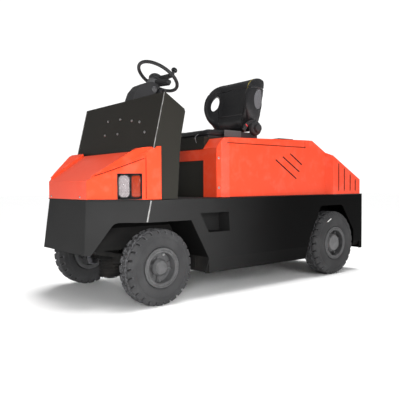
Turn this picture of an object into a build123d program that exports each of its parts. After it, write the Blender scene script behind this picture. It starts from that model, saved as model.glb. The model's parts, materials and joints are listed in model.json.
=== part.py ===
from build123d import *
import math
import os

# Electric baggage tow tractor. Millimetres; +Z up, -Y ahead, +X to the driver's left.
# The origin is on the ground, under the middle of the vehicle's length and width.

os.makedirs("parts", exist_ok=True)

# ---------------------------------------------------------------- driving dimensions
HALF_WIDTH = 600.0  # outer faces of the side plates
DECK_Z = 745.0  # top of the chassis
NOSE_Y = -1505.0  # foremost point, the nose's lower edge
REAR_PLATE_Y = 1391.0  # outer face of the rear plate
COUPLING_REACH = 114.0  # from the rear plate to the tips of the tongues
FRONT_AXLE_Y = -1048.0
REAR_AXLE_Y = 930.0

SHEET = 4.0  # body and dash sheet
PLATE = 2 * SHEET  # chassis plate
NOSE_WALL = 10.0
PAST = 5.0  # how far a cutting solid runs past the face it opens
SEAM = 2.0  # gap beside a part that opens
SEAT_GAP = 0.3  # gap between a part that moves and what it rests on
PIN_GAP = 0.2  # radial clearance of a hinge pin
BORE_GAP = 0.4  # radial clearance of a wheel on its spindle

# Nose: flares forward as it goes down, with a facet to each side
NOSE_FLARE = 36.0
NOSE_BOTTOM_Z = 367.0
NOSE_SLOPE = 1.216  # length over width of the facet in plan
SEAM_TOP_Y = NOSE_Y + 385.0  # joint between nose and side plate
SEAM_RAKE = 0.222  # the joint leans forward by this share of the drop
NOSE_LIP = 33.0  # from the foremost point to the start of the arch

# Side plates: arches over the wheels, a skirt that tucks in below
FRONT_TYRE_R = 271.0
REAR_TYRE_R = 296.0
ARCH_TOP_Z = 2 * FRONT_TYRE_R + 49.0
ARCH_FRONT_Y = FRONT_AXLE_Y - FRONT_TYRE_R - 10.0
ARCH_REAR_Y = FRONT_AXLE_Y + FRONT_TYRE_R + 6.0
ARCH_FOOT_Y = ARCH_REAR_Y + 165.0
REAR_ARCH_TOP_Z = 2 * REAR_TYRE_R + 58.0
REAR_ARCH_FOOT_Y = REAR_AXLE_Y - REAR_TYRE_R - 71.0
REAR_ARCH_FRONT_Y = REAR_ARCH_FOOT_Y + 179.0
REAR_ARCH_END_Y = REAR_AXLE_Y + REAR_TYRE_R + 24.0
REAR_ARCH_BACK_Y = REAR_ARCH_END_Y - 183.0
SKIRT_BEND_Z = 290.0
SKIRT_BOTTOM_Z = 174.0
SKIRT_TUCK = 40.0
SIDE_REAR_Y = REAR_PLATE_Y - 46.0
REAR_SKIRT_Z = 245.0

# Step pockets let into the side plates: (y, height below the deck)
POCKET = [(ARCH_REAR_Y + 85.0, DECK_Z - 107.0), (ARCH_REAR_Y + 371.0, DECK_Z - 107.0),
          (ARCH_REAR_Y + 379.0, DECK_Z - 255.0), (ARCH_REAR_Y + 167.0, DECK_Z - 255.0)]
POCKET_DEPTH = 120.0

# Wheels
FRONT_FACE_X = HALF_WIDTH + 21.5  # outer face of the tyre
REAR_FACE_X = HALF_WIDTH + 19.0
FRONT_SPINDLE_R = 19.9
REAR_SPINDLE_R = 28.0
# end, axle, radius, outer face, width, rim flange radius, barrel radius, hub radius, spindle radius
WHEELS = (
    ("front", FRONT_AXLE_Y, FRONT_TYRE_R, FRONT_FACE_X, 155.0, 141.0, 118.0, 62.0, FRONT_SPINDLE_R),
    ("rear", REAR_AXLE_Y, REAR_TYRE_R, REAR_FACE_X, 171.0, 150.0, 128.0, 85.0, REAR_SPINDLE_R),
)
TREAD_DROP = 34.0  # from the tread down to the side wall's edge
TREAD_IN = 20.0  # from the side wall in to the tread's edge
BEAD_RISE = 10.0
FLANGE_THICK = 10.0
RIM_SET = 1.5  # the rim's flange stands in from the tyre's side by this
BARREL_WALL = 9.0
DISC_THICK = 12.0
DISC_DEPTH = 70.0  # from the tyre's outer face in to the disc
HUB_DEPTH = 45.0  # from the tyre's inner face out to the hub
CAP_BASE = 30.0
CAP_TOP = 12.0
SPINDLE_END = 34.0  # the spindle stops this far inside the tyre's outer face

# Steering: kingpins, arms and tie rod
KINGPIN_X = HALF_WIDTH - 180.0
KINGPIN_R = 12.0
BOSS_R = 30.0
BOSS_HALF = 28.0
LUG_GAP = 2.0
LUG_THICK = 20.0
WEB_GAP = 6.0
WEB_THICK = 16.0
ARM_LENGTH = 130.0
ARM_HALF = 16.0
ARM_DROP = 4.0
STUD_R = 8.0
ROD_R = 10.0
EYE_R = 18.0
EYE_HALF = 11.0

# Frame below the deck: two channels, open to the middle
BEAM_IN = 225.0
BEAM_OUT = 285.0
BEAM_WALL = 10.0
BEAM_TOP_Z = DECK_Z - 205.0
BEAM_BOTTOM_Z = FRONT_TYRE_R + BOSS_HALF + 81.0
BEAM_FRONT_Y = NOSE_Y + 70.0
CROSS_LONG = 60.0  # length of a cross member along the vehicle
CROSS_DROP = 20.0  # a cross member's foot stands above the channels' by this
CROSS_PLACES = (NOSE_Y + 100.0, FRONT_AXLE_Y + 340.0, -300.0, 180.0, REAR_AXLE_Y - 400.0)
OUTRIGGERS = CROSS_PLACES[2:]
TRAY = 16.0

# Battery body: the main sides stand in from the chassis, the rear hood covers its full width
BODY_BASE_Z = DECK_Z + 5.0
BODY_HALF = HALF_WIDTH - 55.0
REAR_HALF = HALF_WIDTH - 4.0
CORNER_HALF = BODY_HALF - 42.0  # outer face of the bolted strip at the front corners
CORNER_IN = 340.0
BODY_FRONT_Y = -442.0
STRIP_END_Y = BODY_FRONT_Y + 47.0
FACET_END_Y = STRIP_END_Y + 51.0
BODY_SHOULDER_Z = DECK_Z + 394.0
LID_FRONT_Y = BODY_FRONT_Y + 67.0
LID_FRONT_Z = DECK_Z + 477.0
LID_TOP_Z = DECK_Z + 501.0
LID_EDGE_Z = DECK_Z + 434.0
LID_NOTCH_Z = DECK_Z + 367.0
HINGE_Y = 580.0
HINGE_Z = LID_TOP_Z + 5.0
HINGES = (-300.0, 300.0)
LEAF = 40.0  # length of each of a hinge's three barrels
LEAF_DEEP = 22.0
LEAF_THICK = 2.5
BARREL_R = 4.5
HINGE_PIN_R = 2.3
SLOPE_START_Y = HINGE_Y + 100.0
BEND_Y = SLOPE_START_Y + 192.0
REAR_BEND_Y = BEND_Y + 56.0
REAR_HOOD_Y = REAR_PLATE_Y - 32.0
REAR_TOP_Z = DECK_Z + 148.0
WALL_TURN = 0.4  # share of a wall's inset by which a bend's corner moves along it

# Well for the battery, and the wall ahead of it
WELL_HALF = 432.0
WELL_FRONT_Y = BODY_FRONT_Y + 112.0
WELL_REAR_Y = HINGE_Y - 15.0
BATTERY_GAP = 12.0
BATTERY_TOP_Z = DECK_Z + 375.0
BULKHEAD_Y = BODY_FRONT_Y + 17.0
BAR_LOW_Z = DECK_Z + 302.0
BAR_TOP_Z = DECK_Z + 391.0

# Seat deck, on the lid
SEAT_DECK_HALF = CORNER_IN - SEAM
SEAT_DECK_REAR_Y = BODY_FRONT_Y + 682.0
SEAT_DECK_LOW_Z = DECK_Z + 396.0

# Hood
HOOD_SHEET = 5.0
HOOD_FRONT_Y = NOSE_Y + NOSE_FLARE
HOOD_CORNER_X = HALF_WIDTH - 280.0
HOOD_SLOPE = 1.114  # length over width of the hood's facets in plan
HOOD_EDGE_Z = DECK_Z + 140.0
HOOD_REAR_Y = NOSE_Y + 375.0
HOOD_REAR_STEP = 30.0  # the rear edge is this much further back at the posts
HOOD_TOP_Z = DECK_Z + 347.0
POST_Y = HOOD_REAR_Y + 94.0  # rear edge of the side posts
POST_LAP = 30.0
LAMP_X = HALF_WIDTH - 79.0  # middle of the lamp opening, on the facet
LAMP_Z = DECK_Z + 96.0
LAMP_WIDE = 174.0
LAMP_HIGH = 178.0
LAMP_DEEP = 88.0
LAMP_WALL = 3.0
# lens, place along the facet, width, height, set back
LENSES = (("headlamps", -42.0, 76.0, 150.0, 8.0), ("indicators", 38.0, 66.0, 148.0, 12.0))

# Driver's controls
DRIVER_X = 100.0
PEDALS = ((70.0, 75.0), (-60.0, 95.0))  # offset from the driver's middle, width
PEDAL_Z = DECK_Z + 97.0
PEDAL_ARM_R = 9.0
WHEEL_Y = HOOD_REAR_Y + 414.0
WHEEL_Z = DECK_Z + 980.0
WHEEL_R = 183.0
WHEEL_TUBE = 12.0
WHEEL_TILT = 33.5  # degrees between the column and the vertical
HUB_R = 42.0
HUB_BELOW = 33.0
HUB_ABOVE = 12.0
SPOKE_R = 10.0
SPOKES = (-20.0, 160.0)  # degrees; the knob stands over the first
KNOB_R = 21.0
COLUMN_R = 17.0
COLUMN_DEEP = 125.0  # from the wheel's middle to the foot of the column's socket
COVER_HALF = 62.0

# Seat
SEAT_HALF = 250.0
SEAT_BASE_Z = LID_TOP_Z - 6.0
PAN_THICK = 16.0
CUSHION_Z = SEAT_BASE_Z + 64.0
CUSHION_FRONT_Y = BODY_FRONT_Y + 47.0
CUSHION_REAR_Y = BODY_FRONT_Y + 517.0
RECLINE_Y = BODY_FRONT_Y + 567.0
RECLINE_Z = SEAT_BASE_Z + 105.0
PIVOT_R = 10.0
ARM_PLATE = 14.0
BACK_GAP = 6.0
WING = 72.0
WING_OUT = 12.0

# Coupling on the rear plate
JAW_HALF = 45.0
JAW_THICK = 18.0
JAW_HEIGHTS = (440.0, 520.0, 600.0)  # middle planes of the three tongues
JAW_WEB = 12.0
JAW_WEB_DEEP = 18.0
TOW_PIN_BACK = 37.0  # from the tongues' tips in to the pin
TOW_PIN_R = 15.0
TOW_PIN_FOOT = 14.0
RING_R = 24.0
RING_TUBE = 6.0
PAD_HALF = 95.0
PAD_THICK = 14.0
HOLE_X = 70.0
BOLT_R = 8.75
BOLT_ROWS = (455.0, 585.0)
SPARE_ROWS = (265.0, 395.0)
REAR_THICK = 12.0
REAR_BOTTOM_Z = 213.0
REAR_RISE = 7.0  # the rear plate stands above the deck by this

# Tail lamps and the vent on the lid: limits on x
TAIL_LAMP = (430.0, 540.0)
VENT = (230.0, 430.0)

SIDES = (("left", 1), ("right", -1))


def slab(plane, points, depth, mode=Mode.ADD, corners=None):
    """Extrudes a closed outline drawn on plane; corners gives the radius at some of its points."""
    with BuildSketch(plane) as outline:
        with BuildLine():
            Polyline(*points, close=True)
        make_face()
        for index, radius in (corners or {}).items():
            near = Vector(*points[index], 0)
            ends = [v for v in outline.vertices() if (Vector(v) - near).length < 0.01]
            fillet(ends, radius)
    extrude(outline.sketch, amount=depth, mode=mode)


def box(x0, x1, y0, y1, z0, z1, mode=Mode.ADD):
    """Adds or cuts a box given by its two limits on each axis."""
    with Locations(((x0 + x1) / 2, (y0 + y1) / 2, (z0 + z1) / 2)):
        Box(abs(x1 - x0), y1 - y0, z1 - z0, mode=mode)


def along_x(points, x0, x1, mode=Mode.ADD, corners=None):
    """Extrudes an outline of (y, z) points from x0 to x1."""
    slab(Plane.YZ.offset(min(x0, x1)), points, abs(x1 - x0), mode, corners)


def rod(start, end, radius, mode=Mode.ADD):
    """Adds or cuts a round bar between two points."""
    axis = Vector(*end) - Vector(*start)
    with BuildSketch(Plane(origin=start, z_dir=axis)) as circle:
        Circle(radius)
    extrude(circle.sketch, amount=axis.length, mode=mode)


def keep(name, part):
    """Labels a finished piece and writes it."""
    part.part.label = name
    export_step(part.part, f"parts/{name}.step")


# ---------------------------------------------------------------- chassis
def nose_outline(z, inset, back):
    """Half outlines of the nose at height z: the facets run to the joint, then straight to back."""
    drop = DECK_Z - z
    front = NOSE_Y + NOSE_FLARE * (1 - drop / (DECK_Z - NOSE_BOTTOM_Z)) + inset
    seam = SEAM_TOP_Y - SEAM_RAKE * drop
    shift = inset * math.hypot(1, NOSE_SLOPE)
    corner = HALF_WIDTH + (front - seam - shift) / NOSE_SLOPE
    end = HALF_WIDTH + (back - shift) / NOSE_SLOPE
    rear = seam + back
    return [(end, rear), (corner, front), (-corner, front), (-end, rear)]


with BuildPart() as nose_bumper:
    for inset, back, mode in ((0.0, 0.0, Mode.ADD), (NOSE_WALL, 4 * NOSE_WALL, Mode.SUBTRACT)):
        levels = []
        for z in (DECK_Z, NOSE_BOTTOM_Z):
            with BuildSketch(Plane.XY.offset(z)) as level:
                with BuildLine():
                    Polyline(*nose_outline(z, inset, back), close=True)
                make_face()
            levels.append(level.sketch.face())
        loft(levels, ruled=True, mode=mode)
    lip = NOSE_Y + NOSE_LIP
    along_x([(lip, NOSE_BOTTOM_Z - PAST), (lip, NOSE_BOTTOM_Z), (ARCH_FRONT_Y, ARCH_TOP_Z),
             (SEAM_TOP_Y, ARCH_TOP_Z), (SEAM_TOP_Y, NOSE_BOTTOM_Z - PAST)],
            -HALF_WIDTH - PAST, HALF_WIDTH + PAST, Mode.SUBTRACT, {2: 60.0})
keep("nose_bumper", nose_bumper)

# arch outlines: (y, z)
ARCH_FOOT_Z = SKIRT_BEND_Z + 10.0
FRONT_ARCH = [(SEAM_TOP_Y - 60, SKIRT_BOTTOM_Z - PAST), (SEAM_TOP_Y - 60, ARCH_TOP_Z),
              (ARCH_REAR_Y, ARCH_TOP_Z), (ARCH_FOOT_Y, ARCH_FOOT_Z), (ARCH_FOOT_Y, SKIRT_BOTTOM_Z - PAST)]
REAR_ARCH = [(REAR_ARCH_FOOT_Y, SKIRT_BOTTOM_Z - PAST), (REAR_ARCH_FOOT_Y, SKIRT_BEND_Z + 40),
             (REAR_ARCH_FRONT_Y, REAR_ARCH_TOP_Z), (REAR_ARCH_BACK_Y, REAR_ARCH_TOP_Z),
             (REAR_ARCH_END_Y, REAR_ARCH_TOP_Z - 250), (REAR_ARCH_END_Y, REAR_SKIRT_Z),
             (SIDE_REAR_Y + PAST, REAR_SKIRT_Z), (SIDE_REAR_Y + PAST, SKIRT_BOTTOM_Z - PAST)]


def grown(points, by):
    """Moves each corner of an outline of (y, z) points out from its middle box by the same step."""
    ys = [p[0] for p in points]
    zs = [p[1] for p in points]
    mid_y = (min(ys) + max(ys)) / 2
    mid_z = (min(zs) + max(zs)) / 2
    return [(y + math.copysign(by, y - mid_y), z + math.copysign(by, z - mid_z)) for y, z in points]


with BuildPart() as side_plates:
    for s in (1, -1):
        outer = s * HALF_WIDTH
        inner = s * (HALF_WIDTH - PLATE)
        tuck = s * SKIRT_TUCK
        slab(Plane.XZ.offset(-SIDE_REAR_Y),
             [(outer, DECK_Z), (outer, SKIRT_BEND_Z), (outer - tuck, SKIRT_BOTTOM_Z),
              (inner - tuck, SKIRT_BOTTOM_Z), (inner, SKIRT_BEND_Z), (inner, DECK_Z)],
             SIDE_REAR_Y - SEAM_TOP_Y + 40)
        low = s * (HALF_WIDTH - SKIRT_TUCK - PLATE - PAST)
        high = s * (HALF_WIDTH + PAST)
        along_x(FRONT_ARCH, low, high, Mode.SUBTRACT)
        along_x(REAR_ARCH, low, high, Mode.SUBTRACT, {2: 50.0, 3: 50.0})
        seam_foot = SEAM_TOP_Y - SEAM_RAKE * (DECK_Z - ARCH_TOP_Z)
        along_x([(SEAM_TOP_Y, DECK_Z + PAST), (SEAM_TOP_Y, DECK_Z), (seam_foot, ARCH_TOP_Z),
                 (seam_foot, ARCH_TOP_Z - PAST), (SEAM_TOP_Y - 50, ARCH_TOP_Z - PAST),
                 (SEAM_TOP_Y - 50, DECK_Z + PAST)], low, high, Mode.SUBTRACT)
        along_x(POCKET, low, high, Mode.SUBTRACT)
keep("side_plates", side_plates)

with BuildPart() as step_pockets:
    for s in (1, -1):
        face = s * (HALF_WIDTH - PLATE)
        back = s * (HALF_WIDTH - PLATE - POCKET_DEPTH)
        along_x(grown(POCKET, SHEET), face, back)
        along_x(POCKET, face, back + s * SHEET, Mode.SUBTRACT)
keep("step_pockets", step_pockets)

with BuildPart() as deck_plate:
    edge = HALF_WIDTH - PLATE
    front = nose_outline(DECK_Z, NOSE_WALL, 0.0)
    corner_x, front_y = front[1]
    shoulder_x, shoulder_y = front[0]
    joint_y = SEAM_TOP_Y + (edge - shoulder_x) * NOSE_SLOPE
    slab(Plane.XY.offset(DECK_Z - PLATE),
         [(corner_x, front_y), (shoulder_x, shoulder_y), (edge, joint_y), (edge, SIDE_REAR_Y),
          (-edge, SIDE_REAR_Y), (-edge, joint_y), (-shoulder_x, shoulder_y), (-corner_x, front_y)], PLATE)
    box(-WELL_HALF, WELL_HALF, WELL_FRONT_Y, WELL_REAR_Y, DECK_Z - PLATE - PAST, DECK_Z + PAST,
        Mode.SUBTRACT)
keep("deck_plate", deck_plate)

with BuildPart() as chassis_beams:
    for s in (1, -1):
        box(s * BEAM_IN, s * BEAM_OUT, BEAM_FRONT_Y, REAR_PLATE_Y - REAR_THICK, BEAM_BOTTOM_Z, BEAM_TOP_Z)
        box(s * (BEAM_IN - PAST), s * (BEAM_OUT - BEAM_WALL), BEAM_FRONT_Y - PAST, REAR_PLATE_Y,
            BEAM_BOTTOM_Z + BEAM_WALL, BEAM_TOP_Z - BEAM_WALL, Mode.SUBTRACT)
keep("chassis_beams", chassis_beams)

with BuildPart() as cross_members:
    web = BEAM_OUT - BEAM_WALL
    low = BEAM_BOTTOM_Z + CROSS_DROP
    for y in CROSS_PLACES:
        box(-web, web, y, y + CROSS_LONG, low, BEAM_TOP_Z - BEAM_WALL)
    for y in OUTRIGGERS:
        for s in (1, -1):
            box(s * BEAM_OUT, s * (HALF_WIDTH - PLATE), y, y + CROSS_LONG, low, BEAM_TOP_Z)
keep("cross_members", cross_members)

with BuildPart() as battery_tray:
    box(-WELL_HALF, WELL_HALF, WELL_FRONT_Y, WELL_REAR_Y, BEAM_TOP_Z, BEAM_TOP_Z + TRAY)
keep("battery_tray", battery_tray)

# inner walls and roofs of the wheel arches
with BuildPart() as arch_liners:
    inner = HALF_WIDTH - PLATE
    under = DECK_Z - PLATE
    wall = BEAM_OUT - SHEET
    for s in (1, -1):
        box(s * wall, s * BEAM_OUT, FRONT_AXLE_Y - 330, CROSS_PLACES[1] + CROSS_LONG, BEAM_TOP_Z, under)
        along_x([(ARCH_REAR_Y, ARCH_TOP_Z), (ARCH_REAR_Y + SHEET, ARCH_TOP_Z),
                 (ARCH_FOOT_Y + SHEET, ARCH_FOOT_Z), (ARCH_FOOT_Y, ARCH_FOOT_Z)], s * BEAM_OUT, s * inner)
        box(s * BEAM_OUT, s * inner, FRONT_AXLE_Y - 60, ARCH_REAR_Y + SHEET, ARCH_TOP_Z, ARCH_TOP_Z + SHEET)
        box(s * wall, s * BEAM_OUT, REAR_ARCH_FRONT_Y, REAR_ARCH_END_Y + 10, BEAM_TOP_Z, under)
        box(s * BEAM_OUT, s * inner, REAR_ARCH_FRONT_Y, REAR_ARCH_BACK_Y, REAR_ARCH_TOP_Z,
            REAR_ARCH_TOP_Z + SHEET)
keep("arch_liners", arch_liners)

with BuildPart() as rear_plate:
    inner_face = REAR_PLATE_Y - REAR_THICK
    box(-HALF_WIDTH, HALF_WIDTH, inner_face, REAR_PLATE_Y, REAR_BOTTOM_Z, DECK_Z + REAR_RISE)
    for s in (1, -1):
        box(s * HALF_WIDTH, s * (HALF_WIDTH - PLATE), SIDE_REAR_Y, inner_face, REAR_BOTTOM_Z, DECK_Z)
        for z in BOLT_ROWS + SPARE_ROWS:
            rod((s * HOLE_X, inner_face - PAST, z), (s * HOLE_X, REAR_PLATE_Y + PAST, z), BOLT_R,
                Mode.SUBTRACT)
keep("rear_plate", rear_plate)

# ---------------------------------------------------------------- coupling
TIP_Y = REAR_PLATE_Y + COUPLING_REACH
PAD_Y = REAR_PLATE_Y + PAD_THICK
PAD_RISE = 35.0
JAW_LOW_Z = JAW_HEIGHTS[0] - JAW_THICK / 2
JAW_TOP_Z = JAW_HEIGHTS[-1] + JAW_THICK / 2
TOW_PIN_Y = TIP_Y - TOW_PIN_BACK
with BuildPart() as tow_coupling:
    box(-PAD_HALF, PAD_HALF, REAR_PLATE_Y, PAD_Y, BOLT_ROWS[0] - PAD_RISE, BOLT_ROWS[1] + PAD_RISE)
    for s in (1, -1):
        for z in BOLT_ROWS:
            rod((s * HOLE_X, REAR_PLATE_Y - PAST, z), (s * HOLE_X, PAD_Y + PAST, z), BOLT_R, Mode.SUBTRACT)
        box(s * (JAW_HALF - JAW_WEB), s * JAW_HALF, PAD_Y, PAD_Y + JAW_WEB_DEEP, JAW_LOW_Z, JAW_TOP_Z)
    for z in JAW_HEIGHTS:
        slab(Plane.XY.offset(z - JAW_THICK / 2),
             [(-JAW_HALF, PAD_Y), (-JAW_HALF, TIP_Y - 20), (-JAW_HALF + 20, TIP_Y),
              (JAW_HALF - 20, TIP_Y), (JAW_HALF, TIP_Y - 20), (JAW_HALF, PAD_Y)], JAW_THICK)
    rod((0, TOW_PIN_Y, JAW_LOW_Z - PAST), (0, TOW_PIN_Y, JAW_TOP_Z + PAST), TOW_PIN_R + BORE_GAP,
        Mode.SUBTRACT)
keep("tow_coupling", tow_coupling)

with BuildPart() as tow_pin:
    collar = JAW_TOP_Z + SEAT_GAP
    neck = collar + 10
    rod((0, TOW_PIN_Y, JAW_LOW_Z - TOW_PIN_FOOT), (0, TOW_PIN_Y, collar), TOW_PIN_R)
    rod((0, TOW_PIN_Y, collar), (0, TOW_PIN_Y, neck), TOW_PIN_R + 9)
    rod((0, TOW_PIN_Y, neck), (0, TOW_PIN_Y, neck + 16), 8.0)
    with Locations(Location((0, TOW_PIN_Y, neck + 12 + RING_R), (90, 0, 0))):
        Torus(RING_R, RING_TUBE)
keep("tow_pin", tow_pin)

# ---------------------------------------------------------------- axles and wheels
AXLE_HALF = 32.0
BOSS_LOW_Z = FRONT_TYRE_R - BOSS_HALF
BOSS_TOP_Z = FRONT_TYRE_R + BOSS_HALF
# leaf springs
SPRING_HALF = 330.0
SPRING_EYE = 22.0
SPRING_SEAT = 60.0
SPRING_THICK = 34.0
with BuildPart() as front_axle:
    reach = KINGPIN_X - BOSS_R + 4
    box(-reach, reach, FRONT_AXLE_Y - AXLE_HALF, FRONT_AXLE_Y + AXLE_HALF, BOSS_LOW_Z, BOSS_TOP_Z)
    spring = [(-SPRING_HALF, BEAM_BOTTOM_Z), (-SPRING_HALF, BEAM_BOTTOM_Z - SPRING_EYE),
              (-SPRING_SEAT, BOSS_TOP_Z), (SPRING_SEAT, BOSS_TOP_Z),
              (SPRING_HALF, BEAM_BOTTOM_Z - SPRING_EYE), (SPRING_HALF, BEAM_BOTTOM_Z),
              (SPRING_HALF - 40, BEAM_BOTTOM_Z), (SPRING_SEAT + 10, BOSS_TOP_Z + SPRING_THICK),
              (-SPRING_SEAT - 10, BOSS_TOP_Z + SPRING_THICK), (-SPRING_HALF + 40, BEAM_BOTTOM_Z)]
    for s in (1, -1):
        rod((s * KINGPIN_X, FRONT_AXLE_Y, BOSS_LOW_Z), (s * KINGPIN_X, FRONT_AXLE_Y, BOSS_TOP_Z), BOSS_R)
        rod((s * KINGPIN_X, FRONT_AXLE_Y, BOSS_LOW_Z), (s * KINGPIN_X, FRONT_AXLE_Y, BOSS_TOP_Z),
            KINGPIN_R + PIN_GAP, Mode.SUBTRACT)
        along_x([(FRONT_AXLE_Y + y, z) for y, z in spring], s * (BEAM_IN + SEAM), s * (BEAM_OUT - SEAM))
keep("front_axle", front_axle)

ARM_TOP_Z = BOSS_LOW_Z - LUG_GAP - ARM_DROP
ARM_LOW_Z = BOSS_LOW_Z - LUG_GAP - LUG_THICK
ROD_Y = FRONT_AXLE_Y + ARM_LENGTH
ROD_Z = BOSS_LOW_Z - LUG_GAP + EYE_HALF
for side, s in SIDES:
    with BuildPart() as knuckle:
        pin_x = s * KINGPIN_X
        web_in = s * (KINGPIN_X + BOSS_R + WEB_GAP)
        web_out = s * (KINGPIN_X + BOSS_R + WEB_GAP + WEB_THICK)
        lug_low = BOSS_LOW_Z - LUG_GAP
        lug_high = BOSS_TOP_Z + LUG_GAP
        for z0, z1 in ((lug_low - LUG_THICK, lug_low), (lug_high, lug_high + LUG_THICK)):
            rod((pin_x, FRONT_AXLE_Y, z0), (pin_x, FRONT_AXLE_Y, z1), BOSS_R)
            box(pin_x, web_out, FRONT_AXLE_Y - BOSS_R, FRONT_AXLE_Y + BOSS_R, z0, z1)
        box(web_in, web_out, FRONT_AXLE_Y - BOSS_R - 5, FRONT_AXLE_Y + BOSS_R + 5,
            lug_low - LUG_THICK, lug_high + LUG_THICK)
        rod((pin_x, FRONT_AXLE_Y, lug_low), (pin_x, FRONT_AXLE_Y, lug_high), KINGPIN_R)
        rod((web_out, FRONT_AXLE_Y, FRONT_TYRE_R),
            (s * (FRONT_FACE_X - SPINDLE_END), FRONT_AXLE_Y, FRONT_TYRE_R),
            FRONT_SPINDLE_R)
        # steering arm and its stud
        box(pin_x - ARM_HALF, pin_x + ARM_HALF, FRONT_AXLE_Y + BOSS_R - 12, ROD_Y, ARM_LOW_Z, ARM_TOP_Z)
        rod((pin_x, ROD_Y, ARM_LOW_Z), (pin_x, ROD_Y, ARM_TOP_Z), ARM_HALF)
        rod((pin_x, ROD_Y, ARM_TOP_Z), (pin_x, ROD_Y, ROD_Z + EYE_HALF + 8), STUD_R)
    keep(f"knuckle_{side}", knuckle)

with BuildPart() as tie_rod:
    rod((-KINGPIN_X + EYE_R / 2, ROD_Y, ROD_Z), (KINGPIN_X - EYE_R / 2, ROD_Y, ROD_Z), ROD_R)
    for s in (1, -1):
        rod((s * KINGPIN_X, ROD_Y, ROD_Z - EYE_HALF), (s * KINGPIN_X, ROD_Y, ROD_Z + EYE_HALF), EYE_R)
        rod((s * KINGPIN_X, ROD_Y, ROD_Z - EYE_HALF - 1), (s * KINGPIN_X, ROD_Y, ROD_Z + EYE_HALF + 1),
            STUD_R + PIN_GAP, Mode.SUBTRACT)
keep("tie_rod", tie_rod)

HOUSING_R = 50.0
GEAR_R = 128.0
MOTOR_R = 98.0
MOTOR_X = 10.0
with BuildPart() as rear_axle:
    spindle = REAR_FACE_X - SPINDLE_END
    housing = REAR_FACE_X - 189
    rod((-spindle, REAR_AXLE_Y, REAR_TYRE_R), (spindle, REAR_AXLE_Y, REAR_TYRE_R), REAR_SPINDLE_R)
    rod((-housing, REAR_AXLE_Y, REAR_TYRE_R), (housing, REAR_AXLE_Y, REAR_TYRE_R), HOUSING_R)
    rod((MOTOR_X - 100, REAR_AXLE_Y, REAR_TYRE_R), (MOTOR_X + 100, REAR_AXLE_Y, REAR_TYRE_R), GEAR_R)
    rod((MOTOR_X, REAR_AXLE_Y, REAR_TYRE_R), (MOTOR_X, REAR_AXLE_Y - 440, REAR_TYRE_R), MOTOR_R)
    for s in (1, -1):
        box(s * (BEAM_IN + SEAM), s * (BEAM_OUT - SEAM), REAR_AXLE_Y - 60, REAR_AXLE_Y + 60,
            REAR_TYRE_R, BEAM_BOTTOM_Z)
keep("rear_axle", rear_axle)

for end, y, radius, face, width, flange, barrel, hub, spindle in WHEELS:
    inside = face - width
    lip = FLANGE_THICK + RIM_SET
    barrel_in = barrel - BARREL_WALL
    disc = face - DISC_DEPTH
    bore = spindle + BORE_GAP
    tyre_points = [(inside + lip, barrel), (face - lip, barrel), (face - lip, flange),
                   (face, flange + BEAD_RISE), (face, radius - TREAD_DROP), (face - TREAD_IN, radius),
                   (inside + TREAD_IN, radius), (inside, radius - TREAD_DROP), (inside, flange + BEAD_RISE),
                   (inside + lip, flange)]
    rim_points = [(inside + RIM_SET, barrel_in), (disc, barrel_in), (disc, hub), (inside + HUB_DEPTH, hub),
                  (inside + HUB_DEPTH, bore), (face - CAP_BASE, bore), (face - CAP_BASE, 0),
                  (face - CAP_TOP, 0), (face - CAP_TOP, hub * 0.76), (face - CAP_BASE, hub),
                  (disc + DISC_THICK, hub), (disc + DISC_THICK, barrel_in), (face - RIM_SET, barrel_in),
                  (face - RIM_SET, flange), (face - lip, flange), (face - lip, barrel),
                  (inside + lip, barrel), (inside + lip, flange), (inside + RIM_SET, flange)]
    for side, s in SIDES:
        plane = Plane(origin=(0, y, radius), x_dir=(s, 0, 0), z_dir=(0, -s, 0))
        for piece, points in (("tyre", tyre_points), ("rim", rim_points)):
            with BuildPart() as turned:
                with BuildSketch(plane) as section:
                    with BuildLine():
                        Polyline(*points, close=True)
                    make_face()
                revolve(section.sketch, Axis((0, y, radius), (1, 0, 0)))
            keep(f"{end}_{piece}_{side}", turned)

# ---------------------------------------------------------------- hood
# corners of one raised side of the hood: in from the side plate, behind the nose, above the deck
RAISED = {
    "front": (255.0, 50.0, 160.0),
    "crest": (210.0, 165.0, 295.0),
    "upper": (50.0, 340.0, 363.0),
    "outer": (0.0, 434.0, 373.0),
    "brow": (0.0, 343.0, 296.0),
    "inner": (195.0, 380.0, 369.0),
    "foot": (269.0, 375.0, 347.0),
}
RAISED_FACES = (("front", "crest", "inner"), ("crest", "upper", "inner"), ("upper", "outer", "inner"),
                ("front", "brow", "crest"), ("brow", "outer", "upper"), ("front", "inner", "foot"))
RIDGE_X = HALF_WIDTH - RAISED["inner"][0]
HOOD_MIDDLE_RISE = 7.0
HOOD_BLANK = 500.0
RAISED_IN = HALF_WIDTH - 350.0


def raised_corner(name, s):
    """A named corner of the hood's raised side."""
    inward, behind, above = RAISED[name]
    return Vector(s * (HALF_WIDTH - inward), NOSE_Y + behind, DECK_Z + above)


def facet_plane(s, inset=0.0):
    """The plane of a nose facet at the lamp: x along it to the rear, z outward."""
    size = math.hypot(1, HOOD_SLOPE)
    out = Vector(s * HOOD_SLOPE / size, -1 / size, 0)
    along = Vector(s / size, HOOD_SLOPE / size, 0)
    middle = Vector(s * LAMP_X, HOOD_FRONT_Y + HOOD_SLOPE * (LAMP_X - HOOD_CORNER_X), LAMP_Z)
    return Plane(origin=middle - out * inset, x_dir=along, z_dir=out)


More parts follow.
